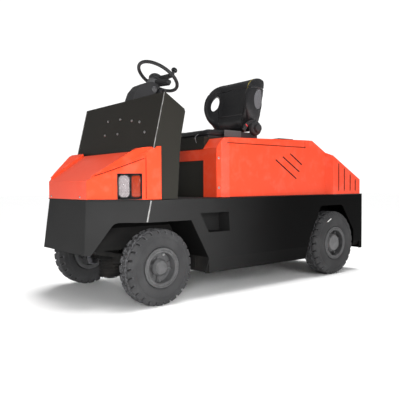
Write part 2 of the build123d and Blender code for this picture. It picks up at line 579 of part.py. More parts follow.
def hood_plan(s, inset, rear):
    """Outline of one half of the hood, from the middle line out; its rear edge runs back to the posts."""
    shift = inset * math.hypot(1, HOOD_SLOPE)
    front = HOOD_FRONT_Y + inset
    corner = HOOD_CORNER_X + (inset - shift) / HOOD_SLOPE
    side_x = HALF_WIDTH - inset
    side_y = front + HOOD_SLOPE * (side_x - corner)
    return [(0.0, front), (s * corner, front), (s * side_x, side_y), (s * side_x, rear + HOOD_REAR_STEP),
            (s * RIDGE_X, rear), (0.0, rear)]


def hood_form(inset, rear):
    """The hood as three solids with every outer face moved in by inset."""
    edge_y = HOOD_FRONT_Y + HOOD_MIDDLE_RISE
    with BuildPart() as middle:
        for s in (1, -1):
            slab(Plane.XY.offset(BODY_BASE_Z - inset), hood_plan(s, inset, rear), HOOD_BLANK)
        split(bisect_by=Plane(origin=(0, edge_y, HOOD_EDGE_Z - inset * 1.2),
                              z_dir=(0, HOOD_EDGE_Z - HOOD_TOP_Z, HOOD_REAR_Y - edge_y)), keep=Keep.BOTTOM)
    forms = [middle.part]
    for s in (1, -1):
        with BuildPart() as raised:
            slab(Plane.XY.offset(BODY_BASE_Z - inset), hood_plan(s, inset, rear), HOOD_BLANK)
            box(0, s * RAISED_IN, NOSE_Y, rear + PAST, BODY_BASE_Z - 4 * PAST,
                BODY_BASE_Z + HOOD_BLANK + PAST,
                Mode.SUBTRACT)
            for face in RAISED_FACES:
                pa, pb, pc = (raised_corner(name, s) for name in face)
                up = (pb - pa).cross(pc - pa).normalized()
                up = up if up.Z > 0 else -up
                split(bisect_by=Plane(origin=pa - up * inset, z_dir=up), keep=Keep.BOTTOM)
        forms.append(raised.part)
    return forms


hood_outer = hood_form(0.0, HOOD_REAR_Y)
hood_inner = hood_form(HOOD_SHEET, HOOD_REAR_Y + 1)
with BuildPart() as hood:
    for solid in hood_outer:
        add(solid)
    for solid in hood_inner:
        add(solid, mode=Mode.SUBTRACT)
    for s in (1, -1):
        outer = raised_corner("outer", s)
        # side post, over the edge of the dash
        along_x([(HOOD_REAR_Y - POST_LAP, BODY_BASE_Z), (HOOD_REAR_Y - POST_LAP, DECK_Z + 299.0),
                 (outer.Y, outer.Z), (POST_Y, outer.Z + SEAM), (POST_Y, BODY_BASE_Z)],
                s * (HALF_WIDTH - SHEET), s * HALF_WIDTH)
        with BuildSketch(facet_plane(s, 60)) as opening:
            Rectangle(LAMP_WIDE, LAMP_HIGH)
        extrude(opening.sketch, amount=120, mode=Mode.SUBTRACT)
keep("hood", hood)

with BuildPart() as lamp_boxes:
    for s in (1, -1):
        for floor, grow, front in ((0.0, 1.0, -SEAM), (LAMP_WALL, 1.0 + 2 * LAMP_WALL, PAST)):
            with BuildSketch(facet_plane(s, LAMP_DEEP - floor)) as bucket:
                Rectangle(LAMP_WIDE - grow, LAMP_HIGH - grow)
            extrude(bucket.sketch, amount=LAMP_DEEP - floor + front,
                    mode=Mode.SUBTRACT if floor else Mode.ADD)
keep("lamp_boxes", lamp_boxes)

for name, place, wide, high, back in LENSES:
    with BuildPart() as lamp:
        for s in (1, -1):
            with BuildSketch(facet_plane(s, LAMP_DEEP - LAMP_WALL)) as outline:
                with Locations((place, 0)):
                    RectangleRounded(wide, high, 18)
            extrude(outline.sketch, amount=LAMP_DEEP - LAMP_WALL - back)
    keep(name, lamp)


# ---------------------------------------------------------------- dash
def dash(behind, above):
    """A (y, z) point behind the hood's rear edge and above the deck."""
    return (HOOD_REAR_Y + behind, DECK_Z + above)


CHEEK_X = HALF_WIDTH - SHEET  # outer face of the cheeks, behind the hood's posts
REACH = CHEEK_X - SHEET
FOOT = dash(34.0, 5.0)
MID = dash(39.0, 373.0)
TOP = dash(133.0, 759.0)
REAR_TOP = dash(304.0, 654.0)
with BuildPart() as dash_shell:
    for s in (1, -1):
        along_x([FOOT, MID, TOP, REAR_TOP, dash(311.0, 633.0), dash(277.0, 477.0), dash(261.0, 354.0),
                 dash(237.0, 5.0)], s * REACH, s * CHEEK_X, corners={4: 12.0})
    along_x([FOOT, MID, TOP, (TOP[0] + 4.6, TOP[1] - SHEET), (MID[0] + SHEET, MID[1] - 0.5),
             (FOOT[0] + SHEET, FOOT[1])], -REACH, REACH)
    along_x([TOP, REAR_TOP, (REAR_TOP[0] - 2.1, REAR_TOP[1] - SHEET), (TOP[0] + 1, TOP[1] - SHEET)],
            -REACH, REACH)
keep("dash_shell", dash_shell)

# instrument panel facing the driver, and a knee panel from it to the front
with BuildPart() as dash_panel:
    along_x([dash(299.0, 649.0), dash(295.0, 651.0), dash(221.0, 405.0), dash(90.0, 375.0),
             dash(90.0, 371.0),
             dash(225.0, 401.0)], -REACH, REACH)
    box(DRIVER_X - 230, DRIVER_X - 80, HOOD_REAR_Y + 225, HOOD_REAR_Y + 255, DECK_Z + 485, DECK_Z + 565)
keep("dash_panel", dash_panel)

PEDAL_Y = HOOD_REAR_Y + 172.0
with BuildPart() as toe_board:
    along_x([dash(42.0, 160.0), dash(46.0, 160.0), dash(170.0, 5.0), dash(170.0, 0.0), dash(166.0, 0.0)],
            -REACH, REACH)
    for offset, wide in PEDALS:
        x = DRIVER_X + offset
        rod((x, HOOD_REAR_Y, PEDAL_Z), (x, PEDAL_Y, PEDAL_Z), PEDAL_ARM_R + SEAT_GAP, Mode.SUBTRACT)
keep("toe_board", toe_board)

with BuildPart() as pedals:
    for offset, wide in PEDALS:
        x = DRIVER_X + offset
        box(x - wide / 2, x + wide / 2, PEDAL_Y, PEDAL_Y + 8, PEDAL_Z - 42, PEDAL_Z + 48)
        rod((x, PEDAL_Y - 102, PEDAL_Z), (x, PEDAL_Y + SEAM, PEDAL_Z), PEDAL_ARM_R)
keep("pedals", pedals)

# ---------------------------------------------------------------- steering column and wheel
tilt = math.radians(WHEEL_TILT)
AXIS = Vector(0, math.sin(tilt), math.cos(tilt))
HUB = Vector(DRIVER_X, WHEEL_Y, WHEEL_Z)
SOCKET_FOOT = HUB - AXIS * COLUMN_DEEP
with BuildPart() as column_cover:
    along_x([dash(138.0, 756.0), dash(165.0, 826.0), dash(215.0, 883.0), dash(290.0, 915.0),
             dash(330.0, 917.0),
             dash(386.0, 898.0), dash(365.0, 855.0), dash(280.0, 725.0), dash(272.0, 674.0)],
            DRIVER_X - COVER_HALF, DRIVER_X + COVER_HALF, corners={1: 60.0, 2: 60.0})
    fillet(column_cover.edges().filter_by(Axis.X).sort_by(Axis.Z)[-4:], 12)
    rod(tuple(SOCKET_FOOT), tuple(HUB - AXIS * 50), COLUMN_R + SEAT_GAP, Mode.SUBTRACT)
keep("column_cover", column_cover)

with BuildPart() as steering_column:
    rod(tuple(SOCKET_FOOT + AXIS * SEAT_GAP), tuple(HUB - AXIS * (HUB_BELOW + SEAT_GAP)), COLUMN_R)
keep("steering_column", steering_column)


def rim_direction(degrees):
    """Unit vector in the wheel's plane; 0 degrees points to +X and 90 down the slope, to the rear."""
    a = math.radians(degrees)
    return Vector(math.cos(a), math.sin(a) * math.cos(tilt), -math.sin(a) * math.sin(tilt))


with BuildPart() as steering_wheel:
    with BuildSketch(Plane(origin=HUB, x_dir=(1, 0, 0), z_dir=AXIS.cross(Vector(1, 0, 0)))) as rim_section:
        with Locations((WHEEL_R, 0)):
            RectangleRounded(2 * WHEEL_TUBE, 2 * WHEEL_TUBE, WHEEL_TUBE - 1)
    revolve(rim_section.sketch, axis=Axis(HUB, AXIS))
    rod(tuple(HUB - AXIS * HUB_BELOW), tuple(HUB + AXIS * HUB_ABOVE), HUB_R)
    for degrees in SPOKES:
        out = rim_direction(degrees)
        rod(tuple(HUB - AXIS * 8 + out * HUB_R * 0.7), tuple(HUB + out * WHEEL_R), SPOKE_R)
    knob = HUB + rim_direction(SPOKES[0]) * WHEEL_R
    rod(tuple(knob), tuple(knob + AXIS * 36), 8)
    rod(tuple(knob + AXIS * 30), tuple(knob + AXIS * 62), KNOB_R)
keep("steering_wheel", steering_wheel)

# ---------------------------------------------------------------- battery body
BODY_FALL = (LID_TOP_Z - REAR_TOP_Z) / (REAR_HOOD_Y - SLOPE_START_Y)
with BuildPart() as body_sides:
    for s in (1, -1):
        along_x([(FACET_END_Y, BODY_BASE_Z), (BEND_Y, BODY_BASE_Z),
                 (BEND_Y, LID_TOP_Z - BODY_FALL * (BEND_Y - SLOPE_START_Y)), (SLOPE_START_Y, LID_TOP_Z),
                 (HINGE_Y + SEAM, LID_TOP_Z), (HINGE_Y + SEAM, LID_EDGE_Z - SEAM),
                 (FACET_END_Y, LID_EDGE_Z - SEAM)], s * (BODY_HALF - SHEET), s * BODY_HALF)
keep("body_sides", body_sides)


def corner_plan(s, inset):
    """Plan of a front corner box, walls moved in by inset."""
    return [(s * (CORNER_IN + inset), BODY_FRONT_Y + inset),
            (s * (CORNER_HALF - inset), BODY_FRONT_Y + inset),
            (s * (CORNER_HALF - inset), STRIP_END_Y + inset * WALL_TURN),
            (s * (BODY_HALF - inset), FACET_END_Y),
            (s * (CORNER_IN + inset), FACET_END_Y)]


NOTCH = [(BODY_FRONT_Y - PAST, BODY_SHOULDER_Z + 3), (STRIP_END_Y - 4, LID_NOTCH_Z),
         (FACET_END_Y, LID_EDGE_Z)]
CORNER_BLANK = 420.0
with BuildPart() as corner_boxes:
    for s in (1, -1):
        slab(Plane.XY.offset(BODY_BASE_Z), corner_plan(s, 0.0), CORNER_BLANK)
        slab(Plane.XY.offset(BODY_BASE_Z - PAST), corner_plan(s, SHEET), CORNER_BLANK + 2 * PAST,
             Mode.SUBTRACT)
    along_x([(y, z - SEAM) for y, z in NOTCH]
            + [(FACET_END_Y + PAST, LID_EDGE_Z), (FACET_END_Y + PAST, LID_TOP_Z),
               (BODY_FRONT_Y - PAST, LID_TOP_Z)],
            -BODY_HALF - PAST, BODY_HALF + PAST, Mode.SUBTRACT)
keep("corner_boxes", corner_boxes)

with BuildPart() as cross_bar:
    bar = BODY_FRONT_Y + SEAM
    box(-CORNER_IN, CORNER_IN, bar, bar + SHEET, BAR_LOW_Z, BAR_TOP_Z)
    box(-CORNER_IN, CORNER_IN, bar + SHEET, bar + 28, BAR_TOP_Z - SHEET, BAR_TOP_Z)
keep("cross_bar", cross_bar)

with BuildPart() as bulkhead:
    box(-CORNER_IN, CORNER_IN, BULKHEAD_Y, BULKHEAD_Y + PLATE, DECK_Z, BAR_TOP_Z - SHEET)
keep("bulkhead", bulkhead)

with BuildPart() as battery:
    half = WELL_HALF - BATTERY_GAP
    box(-half, half, WELL_FRONT_Y + BATTERY_GAP, WELL_REAR_Y - BATTERY_GAP, BEAM_TOP_Z + TRAY,
        BATTERY_TOP_Z)
keep("battery", battery)


def rear_form(inset):
    """The rear hood as a solid with its walls moved in by inset; it runs through its front and base."""
    near = BODY_HALF - SHEET
    wide = REAR_HALF - inset
    tail = REAR_HOOD_Y - inset
    top = LID_TOP_Z - inset
    front = HINGE_Y + SEAM - inset
    bend = BEND_Y + inset
    turn = REAR_BEND_Y + inset * WALL_TURN
    with BuildPart() as form:
        slab(Plane.XY.offset(BODY_BASE_Z - inset),
             [(near, front), (near, bend), (wide, turn), (wide, tail), (-wide, tail), (-wide, turn),
              (-near, bend), (-near, front)], LID_TOP_Z)
        split(bisect_by=Plane(origin=(0, SLOPE_START_Y, top), z_dir=(0, BODY_FALL, 1)), keep=Keep.BOTTOM)
        split(bisect_by=Plane(origin=(0, 0, top), z_dir=(0, 0, 1)), keep=Keep.BOTTOM)
    return form.part


rear_outer = rear_form(0.0)
rear_inner = rear_form(SHEET)
with BuildPart() as rear_hood:
    add(rear_outer)
    add(rear_inner, mode=Mode.SUBTRACT)
    for x in HINGES:
        box(x - LEAF / 2, x + LEAF / 2, HINGE_Y, HINGE_Y + LEAF_DEEP, LID_TOP_Z, LID_TOP_Z + LEAF_THICK)
        rod((x - LEAF / 2, HINGE_Y, HINGE_Z), (x + LEAF / 2, HINGE_Y, HINGE_Z), BARREL_R)
        rod((x - 1.5 * LEAF, HINGE_Y, HINGE_Z), (x + 1.5 * LEAF, HINGE_Y, HINGE_Z), HINGE_PIN_R)
keep("rear_hood", rear_hood)

# Lid: a folded cover with a cut-out at the front for the seat deck
LID_RISE = (LID_TOP_Z - LID_FRONT_Z) / (HINGE_Y - LID_FRONT_Y)
LID_FALL = (LID_FRONT_Z - BODY_SHOULDER_Z) / (LID_FRONT_Y - BODY_FRONT_Y)
LID_BLANK_Z = LID_NOTCH_Z - 20.0


def lid_form(inset):
    """The lid as a solid with its top and walls moved in by inset."""
    turn = inset * WALL_TURN
    plan = [(CORNER_HALF - inset, BODY_FRONT_Y + inset), (CORNER_HALF - inset, STRIP_END_Y + turn),
            (BODY_HALF - inset, FACET_END_Y + turn), (BODY_HALF - inset, HINGE_Y - SEAM - inset)]
    plan = plan + [(-x, y) for x, y in reversed(plan)]
    with BuildPart() as form:
        slab(Plane.XY.offset(LID_BLANK_Z), plan, LID_TOP_Z - LID_BLANK_Z + PAST)
        split(bisect_by=Plane(origin=(0, LID_FRONT_Y, LID_FRONT_Z - inset), z_dir=(0, -LID_RISE, 1)),
              keep=Keep.BOTTOM)
        split(bisect_by=Plane(origin=(0, LID_FRONT_Y, LID_FRONT_Z - inset * 1.6), z_dir=(0, -LID_FALL, 1)),
              keep=Keep.BOTTOM)
    return form.part


lid_outer = lid_form(0.0)
lid_inner = lid_form(SHEET)
with BuildPart() as lid:
    add(lid_outer)
    add(lid_inner, mode=Mode.SUBTRACT)
    along_x(NOTCH + [(HINGE_Y + PAST, LID_EDGE_Z), (HINGE_Y + PAST, LID_BLANK_Z - PAST),
                     (BODY_FRONT_Y - PAST, LID_BLANK_Z - PAST)],
            -BODY_HALF - PAST, BODY_HALF + PAST, Mode.SUBTRACT)
    box(-SEAT_DECK_HALF, SEAT_DECK_HALF, BODY_FRONT_Y - PAST, SEAT_DECK_REAR_Y + SEAM,
        LID_BLANK_Z - PAST, LID_TOP_Z + PAST, Mode.SUBTRACT)
    # inner walls beside the seat deck
    wall_top = LID_FRONT_Z - SHEET
    rear_rise = LID_RISE * (SEAT_DECK_REAR_Y - LID_FRONT_Y)
    for s in (1, -1):
        along_x([(BODY_FRONT_Y + SEAM, BODY_SHOULDER_Z + 1), (LID_FRONT_Y, wall_top),
                 (SEAT_DECK_REAR_Y, wall_top + rear_rise), (SEAT_DECK_REAR_Y, LID_EDGE_Z),
                 (FACET_END_Y, LID_EDGE_Z)],
                s * SEAT_DECK_HALF, s * (SEAT_DECK_HALF + SHEET))
    for x in HINGES:
        for outward in (1, -1):
            near = x + outward * (LEAF / 2 + SEAM / 2)
            far = x + outward * 1.5 * LEAF
            box(near, far, HINGE_Y - LEAF_DEEP, HINGE_Y, LID_TOP_Z - 0.5, LID_TOP_Z + LEAF_THICK)
            rod((near, HINGE_Y, HINGE_Z), (far, HINGE_Y, HINGE_Z), BARREL_R)
            rod((near, HINGE_Y, HINGE_Z), (far, HINGE_Y, HINGE_Z), HINGE_PIN_R + PIN_GAP, Mode.SUBTRACT)
keep("lid", lid)

with BuildPart() as seat_deck:
    half = SEAT_DECK_HALF - SEAT_GAP
    deck_front = BODY_FRONT_Y + 12
    box(-half, half, deck_front, SEAT_DECK_REAR_Y, SEAT_DECK_LOW_Z, SEAT_BASE_Z)
    box(-half + SHEET, half - SHEET, deck_front + SHEET, SEAT_DECK_REAR_Y - SHEET, SEAT_DECK_LOW_Z - PAST,
        SEAT_BASE_Z - SHEET, Mode.SUBTRACT)
keep("seat_deck", seat_deck)

with BuildPart() as top_vent:
    box(VENT[0], VENT[1], HINGE_Y - 215, HINGE_Y - 30, LID_TOP_Z, LID_TOP_Z + 16)
keep("top_vent", top_vent)

# ---------------------------------------------------------------- seat
SEAT_X0 = DRIVER_X - SEAT_HALF
SEAT_X1 = DRIVER_X + SEAT_HALF
with BuildPart() as seat_pan:
    pan_top = SEAT_BASE_Z + PAN_THICK
    rail_top = SEAT_BASE_Z + 60
    box(SEAT_X0 + 40, SEAT_X1 - 40, CUSHION_FRONT_Y + 30, RECLINE_Y + 30, SEAT_BASE_Z, pan_top)
    box(SEAT_X0 + ARM_PLATE, SEAT_X1 - ARM_PLATE, RECLINE_Y - 20, RECLINE_Y + 30, SEAT_BASE_Z, pan_top)
    for x0, x1 in ((SEAT_X0, SEAT_X0 + ARM_PLATE), (SEAT_X1 - ARM_PLATE, SEAT_X1)):
        box(x0, x1, CUSHION_FRONT_Y + 190, RECLINE_Y + 40, SEAT_BASE_Z, rail_top)
        box(x0, x1, RECLINE_Y - 40, RECLINE_Y + 40, rail_top, RECLINE_Z + 30)
    rod((SEAT_X0 - 1, RECLINE_Y, RECLINE_Z), (SEAT_X1 + 1, RECLINE_Y, RECLINE_Z), PIVOT_R + PIN_GAP,
        Mode.SUBTRACT)
keep("seat_pan", seat_pan)

with BuildPart() as seat_cushion:
    side_gap = ARM_PLATE + SEAM
    box(SEAT_X0 + side_gap, SEAT_X1 - side_gap, CUSHION_FRONT_Y, CUSHION_REAR_Y,
        SEAT_BASE_Z + PAN_THICK + SEAT_GAP, CUSHION_Z)
    fillet(seat_cushion.edges().filter_by(Axis.Z), 40)
keep("seat_cushion", seat_cushion)


def by_pivot(behind, above):
    """A (y, z) point behind and above the backrest's pivot."""
    return (RECLINE_Y + behind, RECLINE_Z + above)


with BuildPart() as backrest:
    side_gap = ARM_PLATE + BACK_GAP
    along_x([by_pivot(-30.0, -35.0), by_pivot(-62.0, 60.0), by_pivot(5.0, 395.0), by_pivot(40.0, 445.0),
             by_pivot(95.0, 441.0), by_pivot(110.0, 395.0), by_pivot(50.0, 50.0), by_pivot(28.0, -35.0)],
            SEAT_X0 + side_gap, SEAT_X1 - side_gap)
    rod((SEAT_X0, RECLINE_Y, RECLINE_Z), (SEAT_X1, RECLINE_Y, RECLINE_Z), PIVOT_R)
    for x0, x1 in ((SEAT_X0 - WING_OUT, SEAT_X0 - WING_OUT + WING),
                   (SEAT_X1 + WING_OUT - WING, SEAT_X1 + WING_OUT)):
        along_x([by_pivot(-135.0, 155.0), by_pivot(-115.0, 295.0), by_pivot(30.0, 385.0),
                 by_pivot(60.0, 75.0),
                 by_pivot(-105.0, 50.0)], x0, x1, corners={0: 30.0, 1: 60.0})
keep("backrest", backrest)

with BuildPart() as retractor:
    reel = SEAT_X1 + 40
    rod((SEAT_X1 + SEAT_GAP, RECLINE_Y, RECLINE_Z), (reel, RECLINE_Y, RECLINE_Z), 55)
    rod((reel, RECLINE_Y, RECLINE_Z), (reel + 12, RECLINE_Y, RECLINE_Z), 17)
keep("retractor", retractor)

with BuildPart() as tail_lamps:
    for s in (1, -1):
        box(s * TAIL_LAMP[0], s * TAIL_LAMP[1], REAR_PLATE_Y, REAR_PLATE_Y + 30, DECK_Z - 135, DECK_Z - 55)
keep("tail_lamps", tail_lamps)
print("built")
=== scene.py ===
# %% [markdown]
# # An electric baggage tug
# The frame of this vehicle is finished CAD: panels, wheels, axles and a seat, each a named node that
# rides on a named body. Here it gets what makes it look made: tread, nuts, slots, seams, a padded
# seat, lamps with real lenses, and a finish for every surface. Nothing of the frame is moved.
# Places are read from the frame's own boxes, found by shooting a ray at its panels, or given in
# its metres.

# %% Start from the frame
import json
import math
import bmesh
import bpy
import numpy as np
from mathutils import Matrix, Vector
from mathutils.bvhtree import BVHTree


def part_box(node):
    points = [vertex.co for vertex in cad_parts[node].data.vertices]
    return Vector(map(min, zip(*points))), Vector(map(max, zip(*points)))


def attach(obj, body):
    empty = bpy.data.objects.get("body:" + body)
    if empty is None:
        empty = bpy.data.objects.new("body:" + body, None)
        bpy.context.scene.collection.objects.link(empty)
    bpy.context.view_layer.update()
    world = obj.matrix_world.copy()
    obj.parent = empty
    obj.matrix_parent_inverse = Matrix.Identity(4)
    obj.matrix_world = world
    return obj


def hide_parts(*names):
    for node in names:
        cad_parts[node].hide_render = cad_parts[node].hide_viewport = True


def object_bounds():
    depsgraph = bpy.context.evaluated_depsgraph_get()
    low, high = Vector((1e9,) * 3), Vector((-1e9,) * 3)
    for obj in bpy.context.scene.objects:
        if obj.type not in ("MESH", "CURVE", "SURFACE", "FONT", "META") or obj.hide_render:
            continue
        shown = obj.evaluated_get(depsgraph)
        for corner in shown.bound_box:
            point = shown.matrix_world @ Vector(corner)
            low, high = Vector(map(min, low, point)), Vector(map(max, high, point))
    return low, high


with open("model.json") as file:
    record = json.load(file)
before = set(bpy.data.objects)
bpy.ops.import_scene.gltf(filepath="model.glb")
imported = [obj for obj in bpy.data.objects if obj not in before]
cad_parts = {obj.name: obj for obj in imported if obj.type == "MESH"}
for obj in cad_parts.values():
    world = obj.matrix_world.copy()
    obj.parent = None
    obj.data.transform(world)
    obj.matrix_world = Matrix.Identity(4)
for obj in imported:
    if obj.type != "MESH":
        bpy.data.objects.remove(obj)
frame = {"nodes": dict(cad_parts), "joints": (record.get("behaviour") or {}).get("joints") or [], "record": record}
cad_low, cad_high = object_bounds()

# %% [markdown]
# The driving sizes come from the frame: the nose, the deck, the half widths, the seat's middle. The
# nose's two lamp facets run back 1.114 for each 1 outward. The vehicle points to -Y, so left is +X,
# and all lengths are metres.

# %% Driving sizes
NOSE_Y = cad_low[1]
DECK_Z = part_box("deck_plate")[1].z
HALF_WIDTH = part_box("side_plates")[1].x
BODY_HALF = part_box("body_sides")[1].x
SEAT_X = (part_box("backrest")[0].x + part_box("backrest")[1].x) / 2
FACET_SLOPE = 1.114
SIDES = (("left", 1), ("right", -1))
SIGNS = (1, -1)


def facet_basis(s):
    """A nose facet's directions as rows: along it to the rear, up, outward."""
    size = math.hypot(1, FACET_SLOPE)
    return np.array([[s, FACET_SLOPE, 0], [0, 0, size], [s * FACET_SLOPE, -1, 0]]) / size


print("nose", round(NOSE_Y, 3), "deck", round(DECK_Z, 3), "half width", round(HALF_WIDTH, 3))
# %% [markdown]
# ## Finishes
# A finish is a node tree. Typing it as links and sockets hides the sum it does, so a small class
# wraps a socket: `dust * 0.3 + 0.4` then adds the Math nodes by itself. Colours go through Mix,
# because a Math node would turn them grey. Each finish has its own short function.

# %% Sockets that add up
class Value:
    """A number on a shader wire. Sums, differences and products of it add Math nodes."""

    def __init__(self, finish, socket):
        self.finish = finish
        self.socket = socket

    def math(self, operation, first, second):
        return self.finish.node("ShaderNodeMath", {"operation": operation}, {0: first, 1: second})

    def __add__(self, other):
        return self.math("ADD", self, other)

    def __mul__(self, other):
        return self.math("MULTIPLY", self, other)

    def __sub__(self, other):
        return self.math("SUBTRACT", self, other)

    def __rsub__(self, other):
        return self.math("SUBTRACT", other, self)

    __radd__ = __add__
    __rmul__ = __mul__

    def between(self, low, high):
        """0 below low, 1 above high, smooth in between."""
        return self.finish.node("ShaderNodeMapRange", {"interpolation_type": "SMOOTHSTEP"},
                                {0: self, 1: low, 2: high})


class Finish:
    """One material in the making: a Principled shader and the nodes that feed it."""

    def __init__(self, name):
        self.material = bpy.data.materials.new(name)
        self.material.use_nodes = True
        self.tree = self.material.node_tree
        self.shader = self.tree.nodes["Principled BSDF"]
        self.place = self.node("ShaderNodeTexCoord", output="Object")

    def node(self, kind, settings=None, values=None, output=0):
        """Adds a node: its settings first, then the numbers or wires of its sockets."""
        made = self.tree.nodes.new(kind)
        for name, value in (settings or {}).items():
            setattr(made, name, value)
        self.feed(made, values or {})
        return Value(self, made.outputs[output])

    def feed(self, made, values):
        for name, value in values.items():
            if isinstance(value, Value):
                self.tree.links.new(value.socket, made.inputs[name])
            else:
                made.inputs[name].default_value = value

    def shade(self, **values):
        """Sets the shader's own sockets; a name's underscores stand for spaces."""
        self.feed(self.shader, {name.replace("_", " "): value for name, value in values.items()})
        return self.material

    def noise(self, scale, detail=2.0):
        return self.node("ShaderNodeTexNoise", {},
                         {"Vector": self.place, "Scale": scale, "Detail": detail})

    def cells(self, scale, output="Distance"):
        return self.node("ShaderNodeTexVoronoi", {}, {"Vector": self.place, "Scale": scale}, output)

    def mix(self, factor, low, high):
        """A colour between two colours."""
        return self.node("ShaderNodeMix", {"data_type": "RGBA"}, {0: factor, 6: low, 7: high}, 2)

    def bump(self, height, depth, strength=1.0):
        return self.node("ShaderNodeBump", {},
                         {"Height": height, "Distance": depth, "Strength": strength})

    def along(self, axis):
        """The object coordinate along one axis."""
        return self.node("ShaderNodeSeparateXYZ", {}, {0: self.place}, axis)

    def attribute(self, name):
        return self.node("ShaderNodeAttribute", {"attribute_name": name}, output="Fac")


def rgb(red, green, blue):
    """A colour from its linear parts, opaque."""
    return (red, green, blue, 1.0)


print("finish tools ready")

# %% [markdown]
# **Body paint.** The sheet metal wears a thick orange-red coat, glossy, with the faint orange peel
# that a spray gun leaves. Two close reds drift into each other over half a metre, and a clear coat
# gives the sharp second reflection. A texture could be painted by hand; noise is enough here.

# %% Body paint
def body_paint(name):
    finish = Finish(name)
    drift = finish.noise(1.7, 3.0)
    peel = finish.noise(210.0, 2.0)
    dust = finish.noise(14.0, 5.0).between(0.45, 0.75)
    colour = finish.mix(drift, rgb(0.74, 0.050, 0.015), rgb(0.80, 0.068, 0.021))
    colour = finish.mix(dust * 0.05, colour, rgb(0.75, 0.55, 0.45))
    return finish.shade(Base_Color=colour, Roughness=dust * 0.08 + 0.42, Coat_Weight=0.25,
                        Specular_IOR_Level=0.3, Coat_Roughness=0.22,
                        Normal=finish.bump(peel, 0.00012, 0.35))


# %% [markdown]
# ** Powder coat.** Chassis plates, dash and frame are black, but three blacks: a satin one outside,
# a finely grained warm one on the dash, a dull one below. One function makes them from a dark and
# a light tone, the grain's size and depth, and how rough the coat is. The chassis also carries a
# painted pale sheen, thick at the nose and gone by the battery: painted light for the light falling
# on the front. The shadow lines of seams and openings are the same coat without its shine.

# %% Powder coat
def powder_coat(name, dark, light, grain, depth, rough, dirt=0.0, shine=0.25, painted_front_light=0.0):
    finish = Finish(name)
    cloud = finish.noise(3.0, 4.0)
    grit = finish.noise(grain, 3.0)
    colour = finish.mix(cloud * 0.6 + grit * 0.4, dark, light)
    soil = (1.0 - finish.along(2).between(0.05, 0.75)) * finish.noise(9.0, 6.0).between(0.35, 0.8)
    colour = finish.mix(soil * dirt, colour, rgb(0.16, 0.14, 0.12))
    # Painted light: paler toward the nose, a painted sheen for the light on the front.
    front = 1.0 - finish.along(1).between(-1.15, 0.35)
    colour = finish.mix(front * (cloud * 0.4 + 0.8) * painted_front_light, colour, rgb(0.24, 0.24, 0.24))
    return finish.shade(Base_Color=colour, Roughness=grit * 0.12 + soil * (dirt * 0.3) + rough,
                        Specular_IOR_Level=shine, Normal=finish.bump(grit, depth))


# %% [markdown]
# ** Tyre rubber.** Solid tyres are charcoal with a grey bloom on the high parts; the grooves are
# painted darker, a painted shade in the hollows, and the groove walls are painted paler. The tread
# meshes carry an attribute named `groove`, 1 at the bottom of a groove, and the colour follows it.

# %% Tyre rubber
def tyre_rubber(name):
    finish = Finish(name)
    groove = finish.attribute("groove")
    bloom = finish.noise(7.0, 6.0).between(0.3, 0.75)
    grit = finish.noise(420.0, 3.0)
    colour = finish.mix(bloom, rgb(0.030, 0.030, 0.031), rgb(0.050, 0.050, 0.051))
    # Painted shade: the grooves darker toward their bottoms; their walls are painted paler.
    edge = groove * (1.0 - groove) * 4.0
    colour = finish.mix(groove * 0.75, colour, rgb(0.010, 0.010, 0.010))
    colour = finish.mix(edge * 0.7, colour, rgb(0.11, 0.11, 0.115))
    return finish.shade(Base_Color=colour, Roughness=bloom * 0.1 + 0.68, Specular_IOR_Level=0.25,
                        Normal=finish.bump(grit, 0.0004, 0.6))


# %% [markdown]
# **Metals.** Rims carry grey enamel with a little brake dust; bolts and pins are zinc plated, with
# a patchy, slightly bluish spangle; the battery case is grey painted steel with rubbed patches.

# %% Metals
def enamel(name, dark, light, rough):
    finish = Finish(name)
    dust = finish.noise(22.0, 6.0)
    colour = finish.mix(dust.between(0.3, 0.7), dark, light)
    return finish.shade(Base_Color=colour, Roughness=dust * 0.2 + rough,
                        Normal=finish.bump(finish.noise(160.0), 0.0002, 0.5))


def zinc_plate(name, tone=0.55):
    finish = Finish(name)
    spangle = finish.cells(380.0, "Color")
    shine = finish.node("ShaderNodeRGBToBW", {}, {0: spangle})
    colour = finish.mix(shine, rgb(tone * 0.8, tone * 0.82, tone * 0.86), rgb(tone, tone, tone * 0.98))
    return finish.shade(Base_Color=colour, Metallic=0.9, Roughness=shine * 0.18 + 0.26,
                        Normal=finish.bump(finish.noise(300.0), 0.0001))


# %% [markdown]
# **Plastics and rubber mouldings.** Moulded plastic has a leathery grain, which is Voronoi cells
# softened by noise. Lenses are clear or coloured and glossy: their ribs are geometry, so the
# finish only adds colour, gloss and how much passes through.

# %% Plastics and lenses
def moulded(name, dark, light, rough=0.5, grain=520.0, depth=0.00025):
    finish = Finish(name)
    cells = finish.cells(grain)
    colour = finish.mix(finish.noise(5.0, 4.0), dark, light)
    return finish.shade(Base_Color=colour, Roughness=cells * 0.15 + rough,
                        Normal=finish.bump(cells + finish.noise(grain * 0.5) * 0.5, depth))


def lens(name, colour, deep, alpha=1.0, glow=0.0):
    finish = Finish(name)
    streak = finish.noise(60.0, 2.0)
    tone = finish.mix(streak, colour, deep)
    finish.shader.inputs["Emission Strength"].default_value = glow
    return finish.shade(Base_Color=tone, Roughness=streak * 0.10 + 0.14, Alpha=alpha, IOR=1.5,
                        Coat_Weight=0.25, Coat_Roughness=0.12, Emission_Color=tone)


# %% [markdown]
# **Seat vinyl** is what shows the seat's shape, through its highlights. Grain comes from small
# cells and a finer noise; creases from a larger one; the roughness drifts, so that a highlight
# breaks up as it does on a used seat. **Webbing** is a twill: two crossed waves make its ribs.

